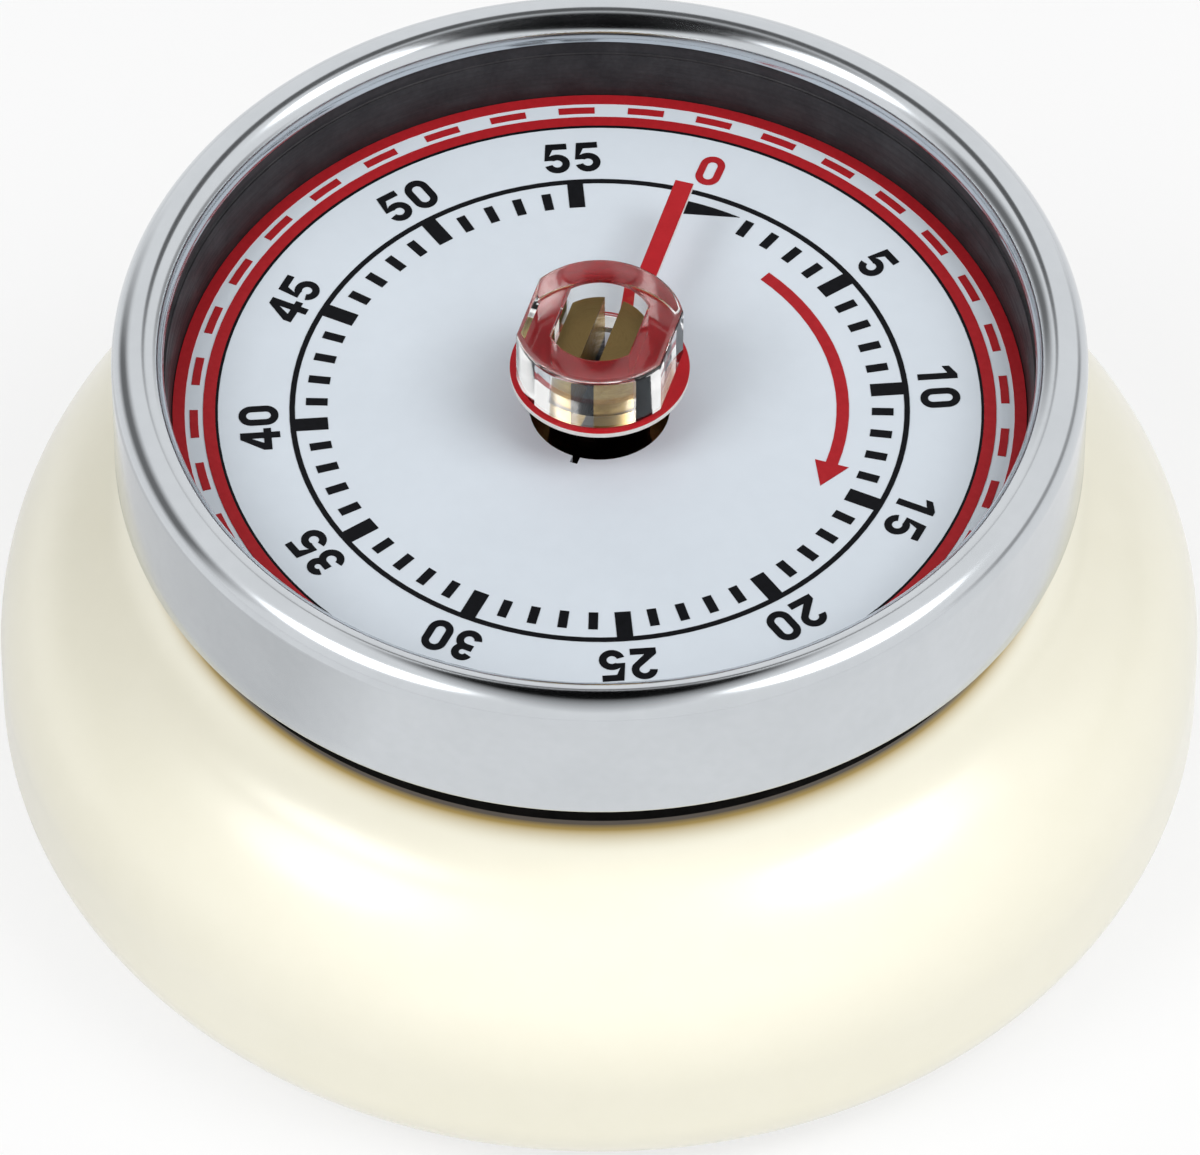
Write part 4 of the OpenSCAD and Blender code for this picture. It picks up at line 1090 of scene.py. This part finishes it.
def hang_sheet(name: str, points: Sequence[Vector], cover: Sequence[float], faces: Sequence[tuple],
               tone: float) -> None:
    """Hangs a sheet that shows only in reflections and through clear pieces.

    Args:
        name: Name of the sheet.
        points: Its points, in metres.
        cover: How solid it is at each point, from 0 to 1.
        faces: Its faces, by the points' numbers.
        tone: How bright it is, where 1 is white.
    """
    mesh = bpy.data.meshes.new(name)
    mesh.from_pydata(points, [], faces)
    mesh.attributes.new("cover", "FLOAT", "POINT").data.foreach_set("value", cover)
    sheet = add_object(name, mesh)
    material, net = new_material(name)
    clear = net.add("ShaderNodeBsdfTransparent")
    glow = net.add("ShaderNodeEmission", {"Strength": tone})
    share = net.add("ShaderNodeAttribute", attribute_name="cover").outputs["Fac"]
    mixed = net.add("ShaderNodeMixShader", {0: share, 1: clear.outputs[0], 2: glow.outputs[0]})
    net.add("ShaderNodeOutputMaterial", {"Surface": mixed.outputs[0]})
    mesh.materials.append(material)
    sheet.visible_camera = False
    sheet.visible_diffuse = False
    sheet.visible_shadow = False
    sheet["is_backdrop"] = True


def hang_oval(name: str, middle: Vector, along: Vector, across: Vector, core: float, tone: float) -> None:
    """Hangs an oval sheet with a soft rim.

    Args:
        name: Name of the sheet.
        middle: Its middle.
        along: One of its axes, as long as the oval.
        across: The other axis, as long as the oval is wide.
        core: Share of the oval that is solid.
        tone: How bright it is, where 1 is white.
    """
    count = OVAL_STEPS
    rim = arc((0, 0), 0.5, 0, 360 - 360 / count, count - 1)
    points = [middle + (along * x + across * y) * share for share in (1.0, core) for x, y in rim]
    faces = [(i, (i + 1) % count, count + (i + 1) % count, count + i) for i in range(count)]
    faces.append(tuple(range(count, 2 * count)))
    hang_sheet(name, points, [0.0] * count + [1.0] * count, faces, tone)


@dataclass(frozen=True)
class Softbox:
    """A large soft lamp that points at the object, with soft edges where it is mirrored.

    Sizes are metres, and the power is watts. EDGE is how much larger than the lamp its mirrored oval
    is, and CORE the share of that oval that is solid.
    """

    name: str
    azimuth: float
    elevation: float
    distance: float
    width: float
    height: float
    power: float
    mirrored: bool = True

    EDGE = 1.3
    CORE = 0.55

    def build(self, target: Vector) -> None:
        """Hangs the lamp, and a bright oval in its place for reflections.

        Args:
            target: Where it points.
        """
        lamp = bpy.data.lights.new(self.name, "AREA")
        lamp.shape = "RECTANGLE"
        lamp.size = self.width
        lamp.size_y = self.height
        lamp.energy = self.power
        holder = add_object(self.name, lamp)
        back = direction(self.azimuth, self.elevation)
        holder.location = target + back * self.distance
        turn = (-back).to_track_quat("-Z", "Y")
        holder.rotation_euler = turn.to_euler()
        holder.visible_glossy = False
        if self.mirrored:
            along = turn @ Vector((self.width * self.EDGE, 0, 0))
            across = turn @ Vector((0, self.height * self.EDGE, 0))
            tone = self.power / (math.pi * self.width * self.height)
            hang_oval(self.name + "_glow", holder.location, along, across, self.CORE, tone)


@dataclass(frozen=True)
class Flag:
    """A black or grey oval over or beside the object, for reflections, in metres.

    Attributes:
        azimuth: Direction of its length.
        tilt: How far its length dips in that direction, in degrees.
        reach: How far its middle lies out in that direction.
        height: Its middle's height over the floor.
        tone: How bright it is, where 1 is white.
    """

    name: str
    azimuth: float
    tilt: float
    reach: float
    height: float
    length: float
    width: float
    tone: float

    CORE = 0.6

    def build(self) -> None:
        """Hangs the oval."""
        along, across = direction(self.azimuth, -self.tilt), direction(self.azimuth + 90.0, 0.0)
        middle = direction(self.azimuth, 0.0) * self.reach + Vector((0, 0, self.height))
        hang_oval(self.name, middle, along * self.length, across * self.width, self.CORE, self.tone)


@dataclass(frozen=True)
class Card:
    """A dark strip with soft edges that bends round the object, for reflections, in metres.

    Attributes:
        start: Azimuth and elevation where it starts.
        end: Azimuth and elevation where it ends.
        tone: How bright it is, where 1 is white.
        ROWS: Places across it, and how solid it is there.
    """

    name: str
    start: Point
    end: Point
    distance: float
    width: float
    tone: float

    ROWS = ((-0.5, 0.0), (-0.15, 1.0), (0.15, 1.0), (0.5, 0.0))
    STEPS = 32
    END_STEPS = 8

    def build(self, target: Vector) -> None:
        """Hangs the strip.

        Args:
            target: What it bends round.
        """
        first, last = direction(*self.start), direction(*self.end)
        axis = first.cross(last).normalized()
        bend = first.angle(last)
        steps, ends, count = self.STEPS, self.END_STEPS, len(self.ROWS)
        points, cover = [], []
        for i in range(steps + 1):
            middle = target + Matrix.Rotation(bend * i / steps, 3, axis) @ first * self.distance
            near_end = min(1.0, i / ends, (steps - i) / ends)
            points += [middle + axis * (self.width * share) for share, _ in self.ROWS]
            cover += [solid * near_end for _, solid in self.ROWS]
        faces = [(i * count + j, i * count + j + 1, (i + 1) * count + j + 1, (i + 1) * count + j)
                 for i in range(steps) for j in range(count - 1)]
        hang_sheet(self.name, points, cover, faces, self.tone)


@dataclass
class Studio:
    """The floor, the light and the camera.

    Distances are metres, and the camera's aim and the floor's drop are millimetres.
    """

    azimuth: float = 19.18
    elevation: float = 49.0
    roll: float = 0.12
    distance: float = 0.712
    focal_pixels: float = 12412.0
    aim_right: float = 0.018
    aim_up: float = -9.785
    horizon_light: float = 0.52
    zenith_light: float = 0.4
    floor_size: float = 6.0
    floor_drop: float = 0.05
    floor_tone: float = 0.85
    floor_bounce: float = 0.64
    floor_share: float = 0.72
    clip_near: float = 0.01
    clip_far: float = 20.0

    SKY_TINT = (0.98, 0.99, 1.0, 1.0)
    SOFTBOXES = (
        Softbox("soft_left", azimuth=-42.0, elevation=51.0, distance=0.7, width=0.35, height=0.35,
                power=1.75),
        Softbox("soft_right", azimuth=90.0, elevation=56.0, distance=0.7, width=0.36, height=0.36,
                power=2.1),
        Softbox("front_fill", azimuth=28.0, elevation=10.0, distance=0.9, width=1.3, height=0.4,
                power=2.5, mirrored=False),
    )
    FLAGS = (
        Flag("bead_flag", azimuth=19.0, tilt=33.0, reach=0.002, height=0.066, length=0.092, width=0.034,
             tone=0.0),
        Flag("knob_flag", azimuth=19.0, tilt=0.0, reach=-0.043, height=0.085, length=0.026, width=0.028,
             tone=0.12),
        # wall_flag is painted shade: a grey sheet on the floor left of the case that shows only in
        # reflections, standing in for the case's shadow on the floor there.
        Flag("wall_flag", azimuth=-66.0, tilt=0.0, reach=0.052, height=0.0006, length=0.05, width=0.1,
             tone=0.74),
    )
    CARDS = (
        Card("horizon_right", start=(90.0, 7.0), end=(165.0, 7.0), distance=1.2, width=0.4, tone=0.4),
        Card("horizon_left", start=(228.0, 16.0), end=(304.0, 16.0), distance=1.2, width=1.0, tone=0.2),
    )

    def place_camera(self) -> None:
        """Sets the camera where the photograph was taken from."""
        back = direction(self.azimuth, self.elevation)
        right = direction(self.azimuth + 90.0, 0.0)
        up = back.cross(right)
        roll = math.radians(self.roll)
        tilted_right = right * math.cos(roll) + up * math.sin(roll)
        tilted_up = up * math.cos(roll) - right * math.sin(roll)
        dial_centre = Vector((0, 0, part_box("dial_plate")[1].z))
        spot = dial_centre + back * self.distance
        spot += (tilted_right * self.aim_right + tilted_up * self.aim_up) * MM
        lens = bpy.data.cameras.new("camera")
        lens.sensor_width = SENSOR_WIDTH
        lens.lens = self.focal_pixels * SENSOR_WIDTH / IMAGE_WIDTH
        lens.clip_start = self.clip_near
        lens.clip_end = self.clip_far
        camera = add_object("camera", lens)
        axes = Matrix((tilted_right, tilted_up, back)).transposed()
        camera.matrix_world = Matrix.Translation(spot) @ axes.to_4x4()
        bpy.context.scene.camera = camera

    def seen_directly(self, net: Net) -> Socket:
        """Tells what is seen from what only lights the object.

        Args:
            net: The nodes of a material or of the world.

        Returns:
            1 for what the camera, a mirror or glass sees, and 0 for the rest.
        """
        path = net.add("ShaderNodeLightPath")
        bright = net.math("MAXIMUM", path.outputs["Is Camera Ray"], path.outputs["Is Glossy Ray"])
        return net.math("MAXIMUM", bright, path.outputs["Is Transmission Ray"])

    def light_world(self) -> None:
        """An even pale light, in front of a white background."""
        world = bpy.data.worlds.new("studio")
        bpy.context.scene.world = world
        world.use_nodes = True
        net = Net(world.node_tree)
        ray = net.add("ShaderNodeTexCoord").outputs["Generated"]
        height = net.add("ShaderNodeSeparateXYZ", {0: ray}).outputs["Z"]
        strength = net.spread(height, self.horizon_light, self.zenith_light, 0.0, 1.0)
        light = net.add("ShaderNodeBackground", {"Color": self.SKY_TINT, "Strength": strength})
        white = net.add("ShaderNodeBackground", {"Color": WHITE, "Strength": 1.0})
        seen = self.seen_directly(net)
        mixed = net.add("ShaderNodeMixShader", {0: seen, 1: light.outputs[0], 2: white.outputs[0]})
        net.add("ShaderNodeOutputWorld", {"Surface": mixed.outputs[0]})

    def lay_floor(self) -> None:
        """A pale floor that goes to white but keeps the shadow."""
        half = self.floor_size / 2
        z = -self.floor_drop * MM
        mesh = bpy.data.meshes.new("floor")
        corners = [(-half, -half, z), (half, -half, z), (half, half, z), (-half, half, z)]
        mesh.from_pydata(corners, [], [(0, 1, 2, 3)])
        floor = add_object("floor", mesh)
        material, net = new_material("floor_paper")
        seen = self.seen_directly(net)
        tones = [(tone, tone, tone, 1.0) for tone in (self.floor_bounce, self.floor_tone)]
        paper = net.add("ShaderNodeBsdfDiffuse", {"Color": net.blend(seen, *tones)})
        glow = net.add("ShaderNodeEmission", {"Color": WHITE, "Strength": 1.0})
        share = net.math("MULTIPLY", seen, self.floor_share)
        mixed = net.add("ShaderNodeMixShader", {0: share, 1: paper.outputs[0], 2: glow.outputs[0]})
        net.add("ShaderNodeOutputMaterial", {"Surface": mixed.outputs[0]})
        mesh.materials.append(material)
        floor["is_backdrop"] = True

    def build(self) -> None:
        """Hangs the lamps, flags and cards, and sets up the world, the floor and the camera."""
        bpy.context.scene.view_settings.view_transform = "Standard"
        low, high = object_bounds()
        middle = (low + high) / 2
        for lamp in self.SOFTBOXES:
            lamp.build(middle)
        for flag in self.FLAGS:
            flag.build()
        for card in self.CARDS:
            card.build(middle)
        self.light_world()
        self.lay_floor()
        self.place_camera()


def main() -> None:
    """Loads the frame, builds each sub-assembly, and sets up the studio."""
    logging.basicConfig(level=logging.INFO, format="%(name)s: %(message)s")
    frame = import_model()
    bench = Bench(frame["nodes"], PaintShop())
    for assembly in (Case(), Bezel(), Dial(), Winder(), Movement()):
        for piece in assembly.build(bench):
            LOG.info("%s: %s", type(assembly).__name__, piece.name)
    Studio().build()


if __name__ == "__main__":
    main()
